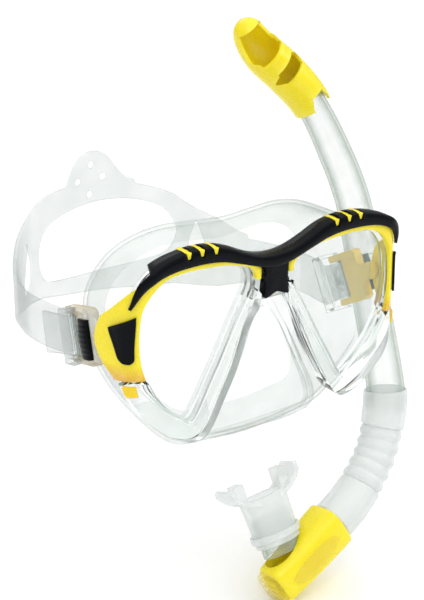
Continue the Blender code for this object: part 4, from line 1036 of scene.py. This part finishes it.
def build_mouthpiece():
    port = sweep("mouth_port_look", [oval(12.2, 8.2, t) for t in (11.0, 16, 22, 28, 33)])
    room = [loop_at(s, r, r) for s, r in ((338, 10.4), (386, 9.3))]
    bore = sweep("port_bore", [oval(10.2, 6.3, 0), oval(10.2, 6.3, 40)])
    combine(port, [bore, sweep("port_room", room)], "DIFFERENCE")
    piece(port, LOOKS["port"], "mouth", "mouth_port", 0.3, 2)

    rows = [oval(w, h, t) for w, h, t in smooth([(14.4, 10.4, 17.5), (14.6, 10.6, 24), (15.0, 10.2, 36),
                                                 (16.0, 9.6, 46.5)], 19)]
    made = sweep("mouthpiece_look", rows)
    front, back = [], []
    for k in range(61):
        turn = math.radians(-78 + 156 * k / 60)
        w, t = 23.5 * math.sin(turn), 62 - 18 * math.cos(turn)
        nw, nt = math.sin(turn), -math.cos(turn)
        tall = 10.6 - 2.2 * math.cos(turn) ** 4 if abs(turn) < 1.2 else 9.0
        tall -= 4.0 * max((abs(turn) - 1.15) / 0.22, 0) ** 2 * 0.5
        spots = [tall * j / 6 for j in range(-6, 7)]
        front.append([mouth_point(w, h, t) for h in spots])
        back.append([mouth_point(w + nw * 2.4, h, t + nt * 2.4) for h in spots])
    extra = [slab("flange", front, back)]
    for side in (1, -1):
        low, high = (side * 15 - 3, -4.6, 46.6), (side * 15 + 3, 4.6, 58)
        extra.append(box(f"bite_stem_{side}", low, high, mouth_point))
    combine(made, extra, "UNION")
    room = [housing_loop(s, -0.4) for s in (338, 350, 362, 376, 389, 396)]
    cuts = [sweep("housing_room", room), sweep("mouth_bore", [oval(12.6, 8.6, 10), oval(12.6, 8.6, 33.4)]),
            sweep("mouth_way", [oval(11.0, 6.6, 30), oval(12.0, 6.0, 60)])]
    combine(made, cuts, "DIFFERENCE")
    piece(made, LOOKS["hose"], "mouth", "mouthpiece", 0.6, 3)

    tie = sweep("mouthpiece_tie_look", [oval(16.2, 12.2, t) for t in (21, 22.3, 23.7, 25)])
    combine(tie, [sweep("tie_bore", [oval(14.95, 10.95, 19), oval(14.95, 10.95, 27)])], "DIFFERENCE")
    piece(tie, LOOKS["hose"], "mouth", "mouthpiece_tie", 0.3, 2)


def build_purge():
    seat = pipe("valve_seat_look", [(386.5, 7.9), (388.5, 7.9)], [(386.5, 5.2), (388.5, 5.2)])
    piece(seat, LOOKS["clear"], "mouth", "valve_seat", 0.2, 2)
    flap = sweep("purge_valve_look", [loop_at(389.0, 6.6), loop_at(390.0, 6.6)])
    piece(flap, LOOKS["hose"], "purge", "purge_valve", 0.25, 2)
    cap = sweep("purge_cover_look", [housing_loop(394.3, 1.2), housing_loop(397, 1.6), housing_loop(398, 3)])
    cuts = []
    for k in range(3):
        at, direction, back, out = station(396)
        low = [at + out * (5 * (k - 1) + u) + back * v for u, v in ((-1, -7), (1, -7), (1, 7), (-1, 7))]
        cuts.append(sweep(f"vent_{k}", [[tuple(p + direction * w) for p in low] for w in (-6, 6)]))
    combine(cap, cuts, "DIFFERENCE")
    piece(cap, LOOKS["panel"], "mouth", "purge_cover", 0.4, 3)


def build_keeper():
    room = blend(TUBE_RADIUS, KEEPER_S) + GAP
    made = pipe("keeper_clip_look", [(168, room + 2.2), (180, room + 2.2)], [(168, room), (180, room)], 72)
    _, y, z = KEEPER_PIVOT
    combine(made, [box("keeper_arm", (98.1, y - 5, z - 5), (102.4, y + 5, z + 8))], "UNION")
    hole = prism("keeper_bore", circle(2.9, 40, (y, z)), 90, 101.8, lambda u, v, w: (w, u, v))
    combine(made, [hole], "DIFFERENCE")
    piece(made, LOOKS["clear"], "keeper", "keeper_clip", 0.5, 3)


# ---------------------------------------------------------------- studio

def area_light(name, at, towards, size, power, colour=(1, 1, 1)):
    data = bpy.data.lights.new(name, "AREA")
    data.shape = "DISK"
    data.size = size
    data.energy = power
    data.color = colour
    lamp = bpy.data.objects.new(name, data)
    lamp.location = at
    lamp.rotation_euler = (Vector(towards) - Vector(at)).to_track_quat("-Z", "Y").to_euler()
    bpy.context.collection.objects.link(lamp)


def build_studio():
    world = bpy.data.worlds.new("studio")
    world.use_nodes = True
    tree = world.node_tree
    parts = tree.nodes.new("ShaderNodeSeparateXYZ")
    tree.links.new(tree.nodes.new("ShaderNodeTexCoord").outputs["Generated"], parts.inputs["Vector"])
    sky = ramp(tree, spread(tree, parts.outputs["Z"], 0.0, 1.0, -0.3, 1.0),
               [(0.0, (0.9, 0.9, 0.9)), (0.3, (0.5, 0.51, 0.52)), (0.62, (1.0, 1.0, 1.0))])
    tree.links.new(sky, tree.nodes["Background"].inputs["Color"])
    tree.nodes["Background"].inputs["Strength"].default_value = 0.78
    bpy.context.scene.world = world

    data = bpy.data.lights.new("sky_light", "SUN")
    data.energy = 1.3
    data.angle = 1.6
    lamp = bpy.data.objects.new("sky_light", data)
    lamp.rotation_euler = (0.25, 0.1, 0)
    bpy.context.collection.objects.link(lamp)
    area_light("key", (-0.75, -0.85, 1.15), (0, 0, -0.05), 0.5, 2.4)
    area_light("fill", (0.95, -0.6, 0.55), (0, 0, -0.05), 0.4, 1.0)
    area_light("back", (0.3, 1.1, 0.9), (0, 0, 0), 0.6, 1.2)

    low = CAD_BOUNDS[0][2] - 0.0005
    reach = 6.0
    mesh = bpy.data.meshes.new("floor")
    corners = [(-reach, -reach, low), (reach, -reach, low), (reach, reach, low), (-reach, reach, low)]
    mesh.from_pydata(corners, [], [(0, 1, 2, 3)])
    floor = bpy.data.objects.new("floor", mesh)
    bpy.context.collection.objects.link(floor)
    made, tree, shader = start_material("floor_paper")
    fibre = noise(tree, 500.0, 4.0, 0.6)
    tree.links.new(ramp(tree, fibre, [(0.3, (0.93, 0.93, 0.93)), (0.7, (0.95, 0.95, 0.95))]),
                   shader.inputs["Base Color"])
    shader.inputs["Roughness"].default_value = 0.9
    shader.inputs["Specular IOR Level"].default_value = 0.1
    mesh.materials.append(made)

    data = bpy.data.cameras.new("camera")
    data.lens = 84.0
    data.sensor_width = 36.0
    camera = bpy.data.objects.new("camera", data)
    camera.location = (-0.4206, -0.5730, 0.2573)
    aim = Vector((-0.02655, -0.03071, 0.0)) - camera.location
    camera.rotation_euler = aim.to_track_quat("-Z", "Y").to_euler()
    bpy.context.collection.objects.link(camera)
    scene = bpy.context.scene
    scene.camera = camera
    scene.view_settings.view_transform = "Standard"
    scene.cycles.transparent_max_bounces = 48
    scene.cycles.transmission_bounces = 20
    scene.cycles.max_bounces = 24


build_studio()
build_frame()
build_trim()
build_skirt()
build_strap()
build_slide()
build_keeper()
build_tube()
build_guard()
build_hose()
build_housing()
build_mouthpiece()
build_purge()
for one_side in (1, -1):
    build_lens(one_side)
    build_bezel(one_side)
    build_insert(one_side)
    build_clip(one_side)
    build_buckle(one_side)
